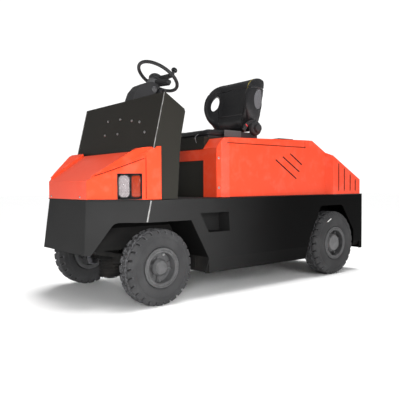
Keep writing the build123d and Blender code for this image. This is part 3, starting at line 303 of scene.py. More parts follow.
# %% Seat vinyl and webbing
def seat_vinyl(name, dark, light):
    finish = Finish(name)
    cells = finish.cells(430.0)
    crease = finish.noise(26.0, 5.0)
    colour = finish.mix(crease, dark, light)
    relief = cells * 0.6 + finish.noise(900.0) * 0.4 + crease * 0.8
    return finish.shade(Base_Color=colour, Roughness=cells * 0.10 + crease * 0.1 + 0.27,
                        Specular_IOR_Level=0.50, Normal=finish.bump(relief, 0.0005, 0.7))


def webbing(name, dark, light):
    finish = Finish(name)
    ribs = finish.node("ShaderNodeTexWave", {"bands_direction": "DIAGONAL"},
                       {"Vector": finish.place, "Scale": 160.0})
    colour = finish.mix(ribs, dark, light)
    return finish.shade(Base_Color=colour, Roughness=ribs * 0.1 + 0.75,
                        Normal=finish.bump(ribs, 0.0006))


# %% [markdown]
# The record gives each CAD node the slot it takes its finish from, so one table of finishes
# dresses the whole frame. A new piece picks from the same table or from a second one, which holds
# what the record has no slot for.

# %% Make the finishes and dress the frame
FINISHES = {
    "body_paint": body_paint("Body_Paint"),
    # The chassis coat's last number paints light: a pale sheen toward the nose.
    "chassis_paint": powder_coat("Chassis_Coat", rgb(0.002, 0.002, 0.002), rgb(0.004, 0.004, 0.004),
                                 900.0, 0.00015, 0.45, 0.0, 0.03, 0.10),
    "dash_paint": powder_coat("Dash_Coat", rgb(0.016, 0.0150, 0.012), rgb(0.024, 0.0225, 0.019),
                              1100.0, 0.0003, 0.50),
    "frame_paint": powder_coat("Frame_Coat", rgb(0.007, 0.007, 0.007), rgb(0.014, 0.014, 0.014),
                               700.0, 0.0003, 0.62, 0.10, 0.12),
    "rim_paint": enamel("Rim_Enamel", rgb(0.050, 0.050, 0.051), rgb(0.085, 0.085, 0.087), 0.42),
    "steel": zinc_plate("Zinc_Plate"),
    "battery_block": enamel("Battery_Case", rgb(0.10, 0.105, 0.11), rgb(0.15, 0.155, 0.16), 0.45),
    "tyre_rubber": tyre_rubber("Tyre_Rubber"),
    "black_plastic": moulded("Moulded_Black", rgb(0.022, 0.022, 0.023), rgb(0.034, 0.034, 0.036)),
    "lamp_lens": lens("Clear_Lens", rgb(0.46, 0.41, 0.42), rgb(0.30, 0.26, 0.27), 0.50),
    "amber_lens": lens("Amber_Lens", rgb(0.36, 0.036, 0.008), rgb(0.16, 0.012, 0.004)),
    "red_lens": lens("Red_Lens", rgb(0.42, 0.01, 0.01), rgb(0.25, 0.005, 0.005), glow=0.05),
    "seat_cover": seat_vinyl("Seat_Vinyl", rgb(0.010, 0.010, 0.011), rgb(0.020, 0.020, 0.022)),
}
EXTRA = {
    "grey_plastic": moulded("Moulded_Grey", rgb(0.10, 0.10, 0.11), rgb(0.15, 0.15, 0.16), 0.45),
    "seam_shadow": powder_coat("Seam_Shadow", rgb(0.10, 0.008, 0.004), rgb(0.05, 0.004, 0.003),
                               500.0, 0.0001, 0.8),
    "dark_gap": powder_coat("Dark_Gap", rgb(0.004, 0.004, 0.004), rgb(0.008, 0.008, 0.008),
                            500.0, 0.0001, 0.9),
    "liner_black": powder_coat("Liner_Coat", rgb(0.003, 0.003, 0.003), rgb(0.006, 0.006, 0.006),
                               500.0, 0.0002, 0.85, 0.0, 0.05),
    # Painted highlight: a light grey for the lines along sheet edges.
    "cut_edge": enamel("Painted_Edge_Highlight", rgb(0.20, 0.20, 0.20), rgb(0.32, 0.32, 0.31), 0.4),
    "reflector": enamel("Reflector", rgb(0.50, 0.46, 0.47), rgb(0.62, 0.58, 0.59), 0.30),
    "thread": webbing("Yellow_Thread", rgb(0.55, 0.42, 0.05), rgb(0.75, 0.62, 0.12)),
    "belt": webbing("Belt_Web", rgb(0.015, 0.015, 0.016), rgb(0.035, 0.035, 0.037)),
    "red_plastic": moulded("Moulded_Red", rgb(0.50, 0.02, 0.03), rgb(0.62, 0.05, 0.06), 0.4),
    "rim_light": enamel("Rim_Hub_Face", rgb(0.085, 0.085, 0.086), rgb(0.125, 0.125, 0.127), 0.42),
    "chalk": enamel("Chalk_Mark", rgb(0.70, 0.70, 0.68), rgb(0.88, 0.88, 0.86), 0.7),
    "collar_grey": moulded("Collar_Grey", rgb(0.075, 0.075, 0.078), rgb(0.10, 0.10, 0.103), 0.42),
    "mat_rubber": moulded("Mat_Rubber", rgb(0.014, 0.014, 0.014), rgb(0.024, 0.024, 0.024), 0.7),
    "glass_black": lens("Dark_Glass", rgb(0.01, 0.012, 0.014), rgb(0.006, 0.007, 0.008)),
    "copper": zinc_plate("Lead_Terminal", 0.35),
}
EXTRA["reflector"].node_tree.nodes["Principled BSDF"].inputs["Metallic"].default_value = 1.0
for part in frame["record"]["subparts"]:
    node = frame["nodes"][part["node"]]
    if not node.material_slots:
        node.data.materials.append(None)
    for used in node.material_slots:
        used.material = FINISHES[part["material_slot"]]
for part in ("arch_liners", "cross_members"):
    frame["nodes"][part].material_slots[0].material = EXTRA["liner_black"]
print("finishes", len(FINISHES) + len(EXTRA))
# %% [markdown]
# ## Making surfaces
# A new piece is a surface worked out with numpy: a grid of points, a formula over the whole grid,
# and one call that hands it to Blender. `grid_faces` joins a grid's neighbours into four-sided
# faces; closing a direction wraps its last line to its first, and merging doubled points closes
# poles and seams, after which the faces are turned outward.

# %% Grids into meshes
def grid_faces(rows, columns, close_rows=False, close_columns=False, first=0):
    """Faces (n, 4) of a rows x columns grid of points numbered row by row from first."""
    row = np.arange(rows - (not close_rows))[:, None]
    column = np.arange(columns - (not close_columns))[None, :]
    next_row = (row + 1) % rows
    next_column = (column + 1) % columns
    corners = (row * columns + column, next_row * columns + column,
               next_row * columns + next_column, row * columns + next_column)
    return np.stack(corners, -1).reshape(-1, 4) + first


WELD = 1e-6


def piece(name, points, faces, finish, body, smooth=40.0, slot=None):
    """One object from points (n, 3) and faces (m, 4): it sits at the origin and rides on body.
    Edges sharper than smooth degrees stay sharp."""
    points = np.asarray(points, float).reshape(-1, 3)
    mesh = bpy.data.meshes.new(name)
    mesh.vertices.add(len(points))
    mesh.vertices.foreach_set("co", points.ravel())
    mesh.loops.add(faces.size)
    mesh.loops.foreach_set("vertex_index", faces.ravel().astype(np.int32))
    mesh.polygons.add(len(faces))
    mesh.polygons.foreach_set("loop_start", np.arange(0, faces.size, faces.shape[1], dtype=np.int32))
    mesh.update(calc_edges=True)
    mesh.validate()
    shape = bmesh.new()
    shape.from_mesh(mesh)
    bmesh.ops.remove_doubles(shape, verts=shape.verts, dist=WELD)
    bmesh.ops.recalc_face_normals(shape, faces=shape.faces)
    shape.to_mesh(mesh)
    shape.free()
    mesh.shade_smooth()
    mesh.set_sharp_from_angle(angle=math.radians(smooth))
    made = bpy.data.objects.new(name, mesh)
    bpy.context.scene.collection.objects.link(made)
    mesh.materials.append(FINISHES[finish] if finish in FINISHES else EXTRA[finish])
    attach(made, body)
    slot or finish in FINISHES
    return made


def joined(parts):
    """Several (points, faces) as one pair, the faces renumbered."""
    starts = np.cumsum([0] + [len(points) for points, faces in parts])
    return (np.concatenate([points for points, faces in parts]),
            np.concatenate([faces + start for (points, faces), start in zip(parts, starts)]))


def frame_of(normal, up=(0, 0, 1)):
    """Rows: two directions across and the unit normal itself, right-handed."""
    normal = np.array(normal, float) / np.linalg.norm(normal)
    across = np.cross(up, normal)
    if np.linalg.norm(across) < 1e-6:
        across = np.cross((0, 1, 0), normal)
    across = across / np.linalg.norm(across)
    return np.array([across, np.cross(normal, across), normal])


def turned(profile, centre=(0, 0, 0), axis=(0, 0, 1), turns=48):
    """A lathe: profile is rows of (radius, height along the axis). A point's place is the centre
    plus radius times (cos a, sin a) across the axis plus height along it. Returns points, faces."""
    profile = np.asarray(profile, float)
    basis = frame_of(axis)
    angle = np.linspace(0, 2 * math.pi, turns, endpoint=False)[:, None, None]
    radius = profile[None, :, :1]
    local = np.cos(angle) * radius * basis[0] + np.sin(angle) * radius * basis[1]
    points = local + profile[None, :, 1:] * basis[2] + np.asarray(centre, float)
    return points.reshape(-1, 3), grid_faces(turns, len(profile), close_rows=True)


def swept(path, section, close_path=False, up=(0, 0, 1)):
    """Carries a closed section of (across, up) along a path. At each point the section stands
    square to the path: its two directions are the path's tangent crossed with up, and that crossed
    with the tangent. Ends are closed by shrinking the last section to its middle."""
    path = np.asarray(path, float)
    section = np.asarray(section, float)
    tangent = np.roll(path, -1, 0) - np.roll(path, 1, 0) if close_path else np.gradient(path, axis=0)
    tangent = tangent / np.linalg.norm(tangent, axis=1)[:, None]
    across = np.cross(tangent, up)
    across = across / np.linalg.norm(across, axis=1)[:, None]
    rise = np.cross(across, tangent)
    points = path[:, None] + section[None, :, :1] * across[:, None] + section[None, :, 1:] * rise[:, None]
    if not close_path:
        points = np.concatenate([np.broadcast_to(path[:1, None], points[:1].shape), points,
                                 np.broadcast_to(path[-1:, None], points[:1].shape)])
    count = len(points)
    return points.reshape(-1, 3), grid_faces(count, len(section), close_path, True)


def round_section(radius, count=12, flat=1.0):
    """An ellipse: radius across, radius times flat high."""
    angle = np.linspace(0, 2 * math.pi, count, endpoint=False)
    return np.stack([radius * np.cos(angle), radius * flat * np.sin(angle)], 1)


def rounded_wave(count, across, up):
    """Cosine and sine round a full turn, each with its size raised to a power below 1. As (u, v)
    they draw a rectangle with round corners, squarer the lower the powers."""
    angle = np.linspace(0, 2 * math.pi, count, endpoint=False)
    return (np.sign(np.cos(angle)) * np.abs(np.cos(angle)) ** across,
            np.sign(np.sin(angle)) * np.abs(np.sin(angle)) ** up)


def capped(sections):
    """Closed sections (n, m, 3) as one shape, with both ends closed to their middles."""
    ends = sections.mean(1, keepdims=True) + 0 * sections
    points = np.concatenate([ends[:1], sections, ends[-1:]])
    return points.reshape(-1, 3), grid_faces(*points.shape[:2], close_columns=True)


def along_points(points, count):
    """count places along a chain of points, with as many to each of its stretches."""
    points = np.asarray(points, float)
    steps = np.linspace(0, len(points) - 1, count)
    return np.stack([np.interp(steps, np.arange(len(points)), points[:, k]) for k in range(3)], 1)


def eased(line, times):
    """A line with each inner point moved, times over, to (before + 2 point + after) / 4."""
    for _ in range(times):
        line[1:-1] = (line[:-2] + 2 * line[1:-1] + line[2:]) / 4
    return line


def soft_box(low, high, edge, basis=None, centre=(0, 0, 0)):
    """A box with rounded edges. Each face is a grid; a point is the nearest point of the box shrunk
    by edge, plus edge times the direction away from it."""
    low = np.asarray(low, float)
    high = np.asarray(high, float)
    middle = (low + high) / 2
    half = (high - low) / 2
    edge = min(edge, half.min() * 0.98)
    steps = np.array([-1.0, -0.985, -0.9, -0.6, 0.6, 0.9, 0.985, 1.0])
    parts = []
    for axis in range(3):
        for side in (-1.0, 1.0):
            grid = np.zeros((len(steps), len(steps), 3))
            one, two = [other for other in range(3) if other != axis]
            near = 1 - edge / half * np.array([0, 0.35, 0.75, 1.0])[:, None]
            for target, lines in ((one, 0), (two, 1)):
                line = np.concatenate([-near[:, target], near[::-1, target]])
                grid[..., target] = line[:, None] if lines == 0 else line[None, :]
            grid[..., axis] = side
            grid = grid * half
            core = np.clip(grid, -(half - edge), half - edge)
            away = grid - core
            away = away / np.maximum(np.linalg.norm(away, axis=-1), 1e-9)[..., None]
            parts.append(((core + away * edge).reshape(-1, 3), grid_faces(8, 8)))
    points, faces = joined(parts)
    points = points + middle
    if basis is not None:
        points = points @ np.asarray(basis)
    return points + np.asarray(centre, float), faces


print("surface tools ready")

# %% [markdown]
# Bolts, slots and seams sit on panels. `on_panel` shoots a ray at a CAD node and answers with the
# point it meets and the panel's outward direction there, so a bolt's depth and tilt come from the
# frame itself.

# %% Rays onto panels
PANEL_TREES = {}


def shot(tree, start, direction):
    """Where a ray first meets a tree of faces, and the unit normal there, turned against the ray."""
    hit, normal = tree.ray_cast(Vector(start), Vector(direction).normalized())[:2]
    if hit is None:
        raise ValueError(f"nothing in the way of the ray from {start}")
    if normal.dot(Vector(direction)) > 0:
        normal = -normal
    return np.array(hit), np.array(normal)


def on_panel(node, start, direction):
    """Where a ray first meets a CAD node, and the normal there. Each node's tree is made once."""
    if node not in PANEL_TREES:
        source = frame["nodes"][node].data
        corners = [tuple(vertex.co) for vertex in source.vertices]
        faces = [tuple(face.vertices) for face in source.polygons]
        PANEL_TREES[node] = BVHTree.FromPolygons(corners, faces)
    return shot(PANEL_TREES[node], start, direction)


print("rays ready")

# %% [markdown]
# A bolt head is a lathe whose radius is six-sided: the radius at angle a is the half width across
# flats over cos of a's distance to the nearest flat's middle. Its shoulder is cut back to a circle
# on top, and a round washer lies below. All bolts of one kind are one piece, copied by numpy.

# %% Bolt heads
def bolt_form(across_flats, height, washer, turns=24):
    """Points and faces of one hex bolt head standing on z = 0, with its washer."""
    angle = np.linspace(0, 2 * math.pi, turns, endpoint=False)
    fold = (angle + math.pi / 6) % (math.pi / 3) - math.pi / 6
    hexagon = across_flats / 2 / np.cos(fold)
    circle = np.full(turns, across_flats / 2)
    rings = [(circle * 0, height), (circle * 0.6, height), (circle * 0.93, height),
             (hexagon, height * 0.82), (hexagon, height * 0.22), (circle * washer, height * 0.2),
             (circle * washer * 1.04, height * 0.1), (circle * washer * 1.04, -height * 0.3),
             (circle * 0, -height * 0.3)]
    radius = np.array([ring[0] for ring in rings])
    level = np.array([ring[1] for ring in rings])[:, None] + 0 * radius
    points = np.stack([radius * np.cos(angle), radius * np.sin(angle), level], -1)
    return points.reshape(-1, 3), grid_faces(len(rings), turns, close_columns=True)


def dome_form(radius, height, turns=20):
    """A round head: height times sqrt(1 - (r/radius)^2) over its base, on a thin flange."""
    share = np.linspace(0, 1, 6)
    profile = [(radius * s, height * math.sqrt(max(0.0, 1 - s * s * 0.9))) for s in share]
    profile += [(radius, -height * 0.2), (0, -height * 0.2)]
    return turned(profile, (0, 0, 0), (0, 0, 1), turns)


def copies(form, places):
    """Copies a form to each (point, normal), its z along the normal."""
    points, faces = form
    return joined([(points @ frame_of(normal) + point, faces) for point, normal in places])


print("bolt has", len(bolt_form(0.018, 0.008, 1.3)[1]), "faces")
# %% [markdown]
# ## Tyres
# The frame's tyres are plain rings, good for collision. The real ones are solid tyres with chunky
# blocks: deep notches cut the shoulder into lugs, a zigzag runs around each side of the middle, and
# the side wall carries raised rings. The tyre is a grid of angle by distance along its outline; a
# groove is a depth that is taken off along the outline's normal, so no boolean is needed.

# %% Tread
LUGS = 26
TURN_STEPS = LUGS * 23
STATIONS = 88
SHOULDER_NOTCH = 0.015
ZIGZAG = 0.009
TREAD_DEPTH = 0.014
WALL_RING = 0.0028
OUTLINE_STEPS = 1200
OUTLINE_ROUNDING = 0.007


def smooth_step(value):
    """3 t^2 - 2 t^3 for t held between 0 and 1."""
    t = np.clip(value, 0, 1)
    return t * t * (3 - 2 * t)


def tyre_outline(half, radius, bead):
    """Stations (x, r), from the bore's middle round the outline: up one side wall, over the tread,
    down the other. Straight runs are sampled finely, corners rounded by a moving average."""
    side = [(0.0, bead), (half - 0.008, bead), (half - 0.001, bead + 0.012), (half, bead + 0.030),
            (half - 0.001, radius - 0.052), (half - 0.004, radius - 0.034),
            (half - 0.019, radius - 0.0045), (half - 0.030, radius), (0.0, radius)]
    corners = np.array(side + [(-x, r) for x, r in side[-2:0:-1]])
    corners = np.concatenate([corners, corners[:1]])
    run = np.concatenate([[0], np.cumsum(np.linalg.norm(np.diff(corners, axis=0), axis=1))])
    fine = np.linspace(0, run[-1], OUTLINE_STEPS, endpoint=False)
    line = np.stack([np.interp(fine, run, corners[:, 0]), np.interp(fine, run, corners[:, 1])], 1)
    window = max(3, int(OUTLINE_ROUNDING / (run[-1] / OUTLINE_STEPS)))
    kernel = np.ones(window) / window
    padded = np.concatenate([line[-window:], line, line[:window]])
    return np.stack([np.convolve(padded[:, k], kernel, "same")[window:-window] for k in (0, 1)], 1)


def groove_mask(around, across, pitch, half_tread):
    """How deep the tread is cut, 0 to 1, at a distance around and across it. A notch is near where
    around / pitch, shifted by half a pitch from side to side, is a whole number; the zigzag is near
    where |across| is 0.42 of the half tread less a triangle wave of around. Together they leave
    six-sided blocks in the middle and square lugs on the shoulders."""
    side = np.where(across > 0, 0.0, 0.5)
    reach = np.abs(across) / half_tread
    phase = around / pitch + side
    slant = 0.16 * reach
    notch = np.abs((phase + slant + 0.5) % 1 - 0.5) * pitch
    notch = smooth_step((SHOULDER_NOTCH / 2 + 0.003 - notch) / 0.003)
    notch = notch * smooth_step((reach - 0.44) / 0.04)
    wave = np.abs(((phase + slant) % 1) - 0.5) * 2 - 0.5
    zigzag = np.abs(reach - 0.42 + 0.24 * wave) * half_tread
    zigzag = smooth_step((ZIGZAG / 2 + 0.003 - zigzag) / 0.003)
    middle = np.abs((phase + slant) % 1 - 0.5) * pitch
    middle = smooth_step((ZIGZAG / 2 + 0.003 - middle) / 0.003) * smooth_step((0.32 - reach) / 0.04)
    return np.maximum(np.maximum(notch, zigzag * 0.9), middle * 0.9)


def tyre(name, node, body):
    """The tyre grid: each station of the outline is carried round the axle by an angle. Stations
    lie 4.2 times closer on the tread, and depth is taken off along the outline's inward normal."""
    low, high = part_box(node)
    half = (high.x - low.x) / 2
    radius = (high.z - low.z) / 2
    centre = np.array([(high.x + low.x) / 2, (high.y + low.y) / 2, (high.z + low.z) / 2])
    outer = 1.0 if centre[0] > 0 else -1.0
    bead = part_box(node.replace("tyre", "rim"))[1].z - centre[2] - 0.001
    line = tyre_outline(half, radius, bead)
    on_tread = smooth_step((line[:, 1] - (radius - 0.075)) / 0.01)
    travel = np.cumsum(1.0 + 3.2 * on_tread)
    stations = np.interp(np.linspace(travel[0], travel[-1], STATIONS), travel, np.arange(len(line)))
    line = np.stack([np.interp(stations, np.arange(len(line)), line[:, k]) for k in (0, 1)], 1)
    slope = np.roll(line, -1, 0) - np.roll(line, 1, 0)
    inward = np.stack([-slope[:, 1], slope[:, 0]], 1)
    inward = inward / np.linalg.norm(inward, axis=1)[:, None]
    inward = np.where(inward[:, 1:] * (line[:, 1:] - bead) > 0, -inward, inward)
    from_top = np.sign(line[:, 0]) * (half - 0.018 + np.maximum(0, radius - 0.004 - line[:, 1]))
    on_wall = line[:, 1] < radius - 0.006
    across = np.where(on_wall, from_top, line[:, 0])
    half_tread = half - 0.012
    angle = np.linspace(0, 2 * math.pi, TURN_STEPS, endpoint=False)
    around = angle[:, None] * radius
    pitch = 2 * math.pi * radius / LUGS
    cut = groove_mask(around, across[None, :], pitch, half_tread)
    fade = smooth_step((line[:, 1] - (radius - 0.034)) / 0.010) * (line[:, 1] > bead + 0.04)
    cut = cut * fade[None, :]
    depth = TREAD_DEPTH * cut
    wall = (np.abs(line[:, 0]) > half - 0.006) & (line[:, 1] < radius - 0.045)
    rings = np.zeros(len(line))
    for ring, wide in ((bead + 0.036, 0.0030), (bead + 0.024, 0.0024), (bead + 0.012, 0.0024),
                       (radius - 0.062, 0.004)):
        rings += WALL_RING * np.exp(-((line[:, 1] - ring) / wide) ** 2)
    depth = depth + (rings * wall)[None, :]
    x = line[:, 0][None, :] + inward[:, 0][None, :] * depth
    r = line[:, 1][None, :] + inward[:, 1][None, :] * depth
    points = np.stack([centre[0] + outer * x, centre[1] + np.cos(angle)[:, None] * r,
                       centre[2] + np.sin(angle)[:, None] * r], -1)
    made = piece(name, points, grid_faces(TURN_STEPS, len(line), True, True), "tyre_rubber", body, 50.0)
    if len(made.data.vertices) == cut.size:
        groove = made.data.attributes.new("groove", "FLOAT", "POINT")
        groove.data.foreach_set("value", cut.astype(np.float32).ravel())
    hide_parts(node)
    return made


for end in ("front", "rear"):
    for side in ("left", "right"):
        made = tyre(f"tread_tyre_{end}_{side}", f"{end}_tyre_{side}", f"{end}_wheel_{side}")
print("tyre faces", len(made.data.polygons), "groove", "groove" in made.data.attributes)

# %% [markdown]
# ## Rims
# The frame's rims are right in section, so they stay. All get rolled edges and wheel nuts. The
# front ones also get the split rim's clamping bolts and dark joints, and a domed grease cap.

# %% Rim details
RIM_LIP = ((-0.003, 0.0), (0.0, 0.0022), (0.0055, 0.0030), (0.0085, 0.0006), (0.0085, -0.004),
           (-0.003, -0.004))
GREASE_CAP = ((0.0, -0.010), (0.018, -0.0105), (0.033, -0.013), (0.043, -0.019), (0.0485, -0.030),
              (0.0485, -0.044), (0.051, -0.046), (0.051, -0.062), (0.0, -0.062))
HUB_FACE = ((0.0, -0.0066), (0.009, -0.0066), (0.012, -0.0078), (0.062, -0.0078), (0.070, -0.0092),
            (0.0735, -0.0130), (0.0735, -0.030), (0.0, -0.030))
NUT_DEPTH = 0.0565


def wheel_centre(node, out):
    """The middle of a wheel's outer face, which looks to out (1 or -1), and the rim's radius."""
    low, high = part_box(node)
    face = high.x if out > 0 else low.x
    return np.array([face, (low.y + high.y) / 2, (low.z + high.z) / 2]), (high.z - low.z) / 2


def round_the_wheel(centre, out, radius, count, inward, turn):
    """Places (point, outward normal) on a circle, inward from the rim's outer face."""
    angle = turn + np.arange(count) * 2 * math.pi / count
    points = centre + np.stack([angle * 0 - out * inward, radius * np.cos(angle), radius * np.sin(angle)], 1)
    return [(point, (out, 0, 0)) for point in points]


def rim_lip(centre, out, radius, outward):
    """A rolled edge turned on a wheel's axis at a radius."""
    rows = [(radius + step, height + outward) for step, height in RIM_LIP]
    return turned(rows + rows[:1], centre, (out, 0, 0), 96)


def rim_joint(centre, out, turn):
    """A dark line on the disc, from the hub outward."""
    direction = np.array([0, math.cos(turn), math.sin(turn)])
    start = centre - [out * (NUT_DEPTH - 0.0006), 0, 0]
    path = start + direction * np.linspace(0.060, 0.108, 4)[:, None]
    return swept(path, round_section(0.0016, 8), up=(out, 0, 0))


for end, nut_ring, nuts, nut_height in (("front", 0.066, 5, 0.013), ("rear", 0.101, 8, 0.026)):
    for side, s in SIDES:
        centre, rim = wheel_centre(f"{end}_rim_{side}", s)
        lips = [rim_lip(centre, s, rim - 0.008, 0.0), rim_lip(centre, s, rim - 0.026, 0.0004)]
        body = f"{end}_wheel_{side}"
        piece(f"rim_lip_{end}_{side}", *joined(lips), "rim_paint", body, 60.0)
        places = round_the_wheel(centre, s, nut_ring, nuts, NUT_DEPTH, 0.35)
        nut = bolt_form(0.021, nut_height, 1.35)
        piece(f"wheel_nuts_{end}_{side}", *copies(nut, places), "rim_paint", body)
        if end == "front":
            places = round_the_wheel(centre, s, 0.100, 5, NUT_DEPTH, 1.05)
            piece(f"clamp_bolts_{side}", *copies(bolt_form(0.017, 0.009, 1.25), places), "steel", body)
            cap = turned(GREASE_CAP, centre, (s, 0, 0))
            piece(f"grease_cap_{side}", *cap, "rim_paint", body, 50.0)
            seams = [rim_joint(centre, s, turn) for turn in (0.35, 2.45, 4.55)]
            piece(f"rim_joints_{side}", *joined(seams), "dark_gap", body)
print("rims dressed")

# %% [markdown]
# The rear hub is a flat plate with a turned-down edge and a shallow centre mark; a stroke of chalk
# on the rear tyre's side wall is the kind of mark a fitter leaves.

# %% Rear hub faces
for side, s in SIDES:
    centre = wheel_centre(f"rear_rim_{side}", s)[0]
    body = f"rear_wheel_{side}"
    piece(f"hub_face_{side}", *turned(HUB_FACE, centre, (s, 0, 0), 64), "rim_light", body, 50.0)
    tyre_face = wheel_centre(f"rear_tyre_{side}", s)[0][0]
    start = np.array([tyre_face + s * 0.0006, centre[1] - 0.1150, centre[2] + 0.2030])
    path = start + np.linspace(0, 1, 5)[:, None] * [0, 0.054, 0.026]
    chalk = swept(path, round_section(0.004, 8, 0.25), up=(s, 0, 0))
    piece(f"chalk_mark_{side}", *chalk, "chalk", body)
print("hubs dressed")
# %% [markdown]
# ## Vents, seams and screws
# The battery body breathes through pressed slots: three slanting ones on each flank and four
# upright ones on the rear quarter. Cutting them into the CAD panel isn't allowed and isn't needed:
# a slot reads by its dark opening and its rolled edge. Cutting them into the CAD panel isn't
# needed: a slot reads by a painted dark opening and its rolled edge. Each is a thin dark pad in a
# stadium shape, a painted shade for the slot's dark inside, ringed by a raised painted bead. Both
# lie on the panel: at the flank's half width, and on the rear quarter where a ray finds it.

# %% Slots
SLANT_SLOTS = (((0.196, 1.058), (0.457, 0.900)), ((0.286, 1.086), (0.498, 0.962)),
               ((0.384, 1.115), (0.532, 1.026)))
UPRIGHT_SLOTS = ((1.015, 0.790, 1.038), (1.105, 0.790, 0.992), (1.200, 0.790, 0.935), (1.285, 0.788, 0.887))
SLOT_HALF = 0.0060


def stadium(start, end, radius, steps=9):
    """Outline of a slot: two half circles of a radius round start and end. Rows are (u, v)."""
    start = np.asarray(start, float)
    end = np.asarray(end, float)
    lean = math.atan2(end[1] - start[1], end[0] - start[0])
    turn = np.linspace(-math.pi / 2, math.pi / 2, steps)
    first = end + radius * np.stack([np.cos(lean + turn), np.sin(lean + turn)], 1)
    second = start - radius * np.stack([np.cos(lean + turn), np.sin(lean + turn)], 1)
    return np.concatenate([first, second])


def pad(outline, height, origin, basis, sink=0.001):
    """A flat pad with a rounded rim: rings of the outline, drawn in to its middle, stand on a plane.
    basis has rows (u direction, v direction, normal)."""
    middle = outline.mean(0)
    rings = ((1.0, -sink), (1.0, height * 0.6), (0.97, height), (0.5, height), (0.0, height))
    points = [np.concatenate([middle + (outline - middle) * grow, np.full((len(outline), 1), level)], 1)
              for grow, level in rings]
    points.append(np.concatenate([middle + (outline - middle) * 0, np.full((len(outline), 1), -sink)], 1))
    points = np.array(points) @ np.asarray(basis, float) + np.asarray(origin, float)
    return points.reshape(-1, 3), grid_faces(len(rings) + 1, len(outline), True, True)


def bead(outline, radius, origin, basis, flat=0.7):
    """A bead along a closed outline on a plane."""
    basis = np.asarray(basis, float)
    path = outline @ basis[:2] + np.asarray(origin, float)
    return swept(path, round_section(radius, 8, flat), True, up=basis[2])


# The dark pads are painted shade in the slots; the beads are real rims.
shade_pads, lips = [], []
for s in SIGNS:
    basis = np.array([[0, 1, 0], [0, 0, 1], [s, 0, 0]], float)
    runs = [(a, b, BODY_HALF) for a, b in SLANT_SLOTS]
    runs += [((y, low), (y, high),
              on_panel("rear_hood", (s * 0.9, y, (low + high) / 2), (-s, 0, 0))[0][0] * s)
             for y, low, high in UPRIGHT_SLOTS]
    for start, end, x in runs:
        shade_pads.append(pad(stadium(start, end, SLOT_HALF), 0.0006, (s * x, 0, 0), basis))
        lips.append(bead(stadium(start, end, SLOT_HALF + 0.0012), 0.0016, (s * x, 0, 0), basis))
piece("vent_shade_pads", *joined(shade_pads), "dark_gap", "chassis", 30.0)
piece("vent_edges", *joined(lips), "body_paint", "chassis", 60.0)
print("slots", len(shade_pads))

# %% [markdown]
# The lid closes over the body along a fold line, and a shadow runs there with a round plug at its
# rear end. The body stands on the deck on a dark rubber strip, and the flank has a folded corner
# strip held by two round head screws. These are swept beads and small domes.

# %% Lid line, foot seam and flank screws
FOLD_FRONT_Y, FOLD_REAR_Y, FOLD_Z = -0.363, 0.567, 1.1805
strips, plugs = [], []
for s in SIGNS:
    x = s * (BODY_HALF + 0.0002)
    path = np.linspace((x, FOLD_FRONT_Y, FOLD_Z), (x, FOLD_REAR_Y, FOLD_Z), 24)
    strips.append(swept(path, round_section(0.0028, 8, 0.5), up=(s, 0, 0)))
    plugs.append((np.array([s * BODY_HALF, FOLD_REAR_Y + 0.012, FOLD_Z]), (s, 0, 0)))
piece("lid_fold_lines", *joined(strips), "seam_shadow", "battery_cover", 60.0)
piece("lid_plugs", *copies(dome_form(0.007, 0.003), plugs), "dark_gap", "battery_cover", 60.0)
feet = []
for s in SIGNS:
    for node in ("body_sides", "rear_hood"):
        low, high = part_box(node)
        start = max(low.y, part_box("body_sides")[1].y) if node == "rear_hood" else low.y
        ys = np.linspace(start + 0.006, high.y - 0.012, 40)
        x = np.array([on_panel(node, (s * 0.9, y, 0.765), (-s, 0, 0))[0][0] for y in ys])
        path = np.stack([x + s * 0.0005, ys, np.full(40, DECK_Z + 0.0035)], 1)
        feet.append(swept(path, round_section(0.0045, 8, 0.9), up=(0, 0, 1)))
piece("foot_strips", *joined(feet), "mat_rubber", "chassis", 60.0)
screws = [on_panel("corner_boxes", (s * 0.9, -0.418, z), (-s, 0, 0)) for s in SIGNS for z in (1.060, 0.825)]
piece("flank_screws", *copies(dome_form(0.011, 0.005), screws), "steel", "chassis", 50.0)
print("flank", len(strips), "lines", len(screws), "screws")

# %% [markdown]
# ** Dash and nose.** Zinc-plated bolts with washers hold the instrument and switch boxes behind the
# dash, and two screws sit low on the hood. The dash's front corner gets a painted highlight, a light
# line along the folded sheet's edge, and another such painted highlight runs down where the nose
# meets the flank.

# %% Dash bolts and painted edge highlights
DASH_BOLTS = ((-0.152, 1.363), (0.040, 1.361), (0.223, 1.333), (0.337, 1.312), (0.435, 1.229),
              (-0.157, 1.250),
              (0.045, 1.246))
places = [on_panel("dash_shell", (x, -1.8, z), (0, 1, 0)) for x, z in DASH_BOLTS]
piece("dash_bolts", *copies(bolt_form(0.015, 0.007, 1.3), places), "steel", "chassis")
places = [on_panel("hood", (x, -1.9, 0.768), (0, 1, 0)) for x in (-0.277, 0.219)]
piece("hood_screws", *copies(dome_form(0.008, 0.004), places), "steel", "chassis", 50.0)
dash_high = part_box("dash_shell")[1]
# Painted highlights along the dash's front corners.
edges = []
for s in SIGNS:
    levels = np.linspace(DECK_Z + 0.30, dash_high.z - 0.004, 30)
    front = [on_panel("dash_shell", (s * 0.585, -1.8, z), (0, 1, 0))[0] for z in levels]
    path = np.array(front) * [0, 1, 1] + [s * 0.5925, -0.0006, 0]
    edges.append(swept(path, round_section(0.0050, 10, 0.40), up=(0, -1, 0)))
piece("dash_edge_highlights", *joined(edges), "cut_edge", "chassis", 60.0)
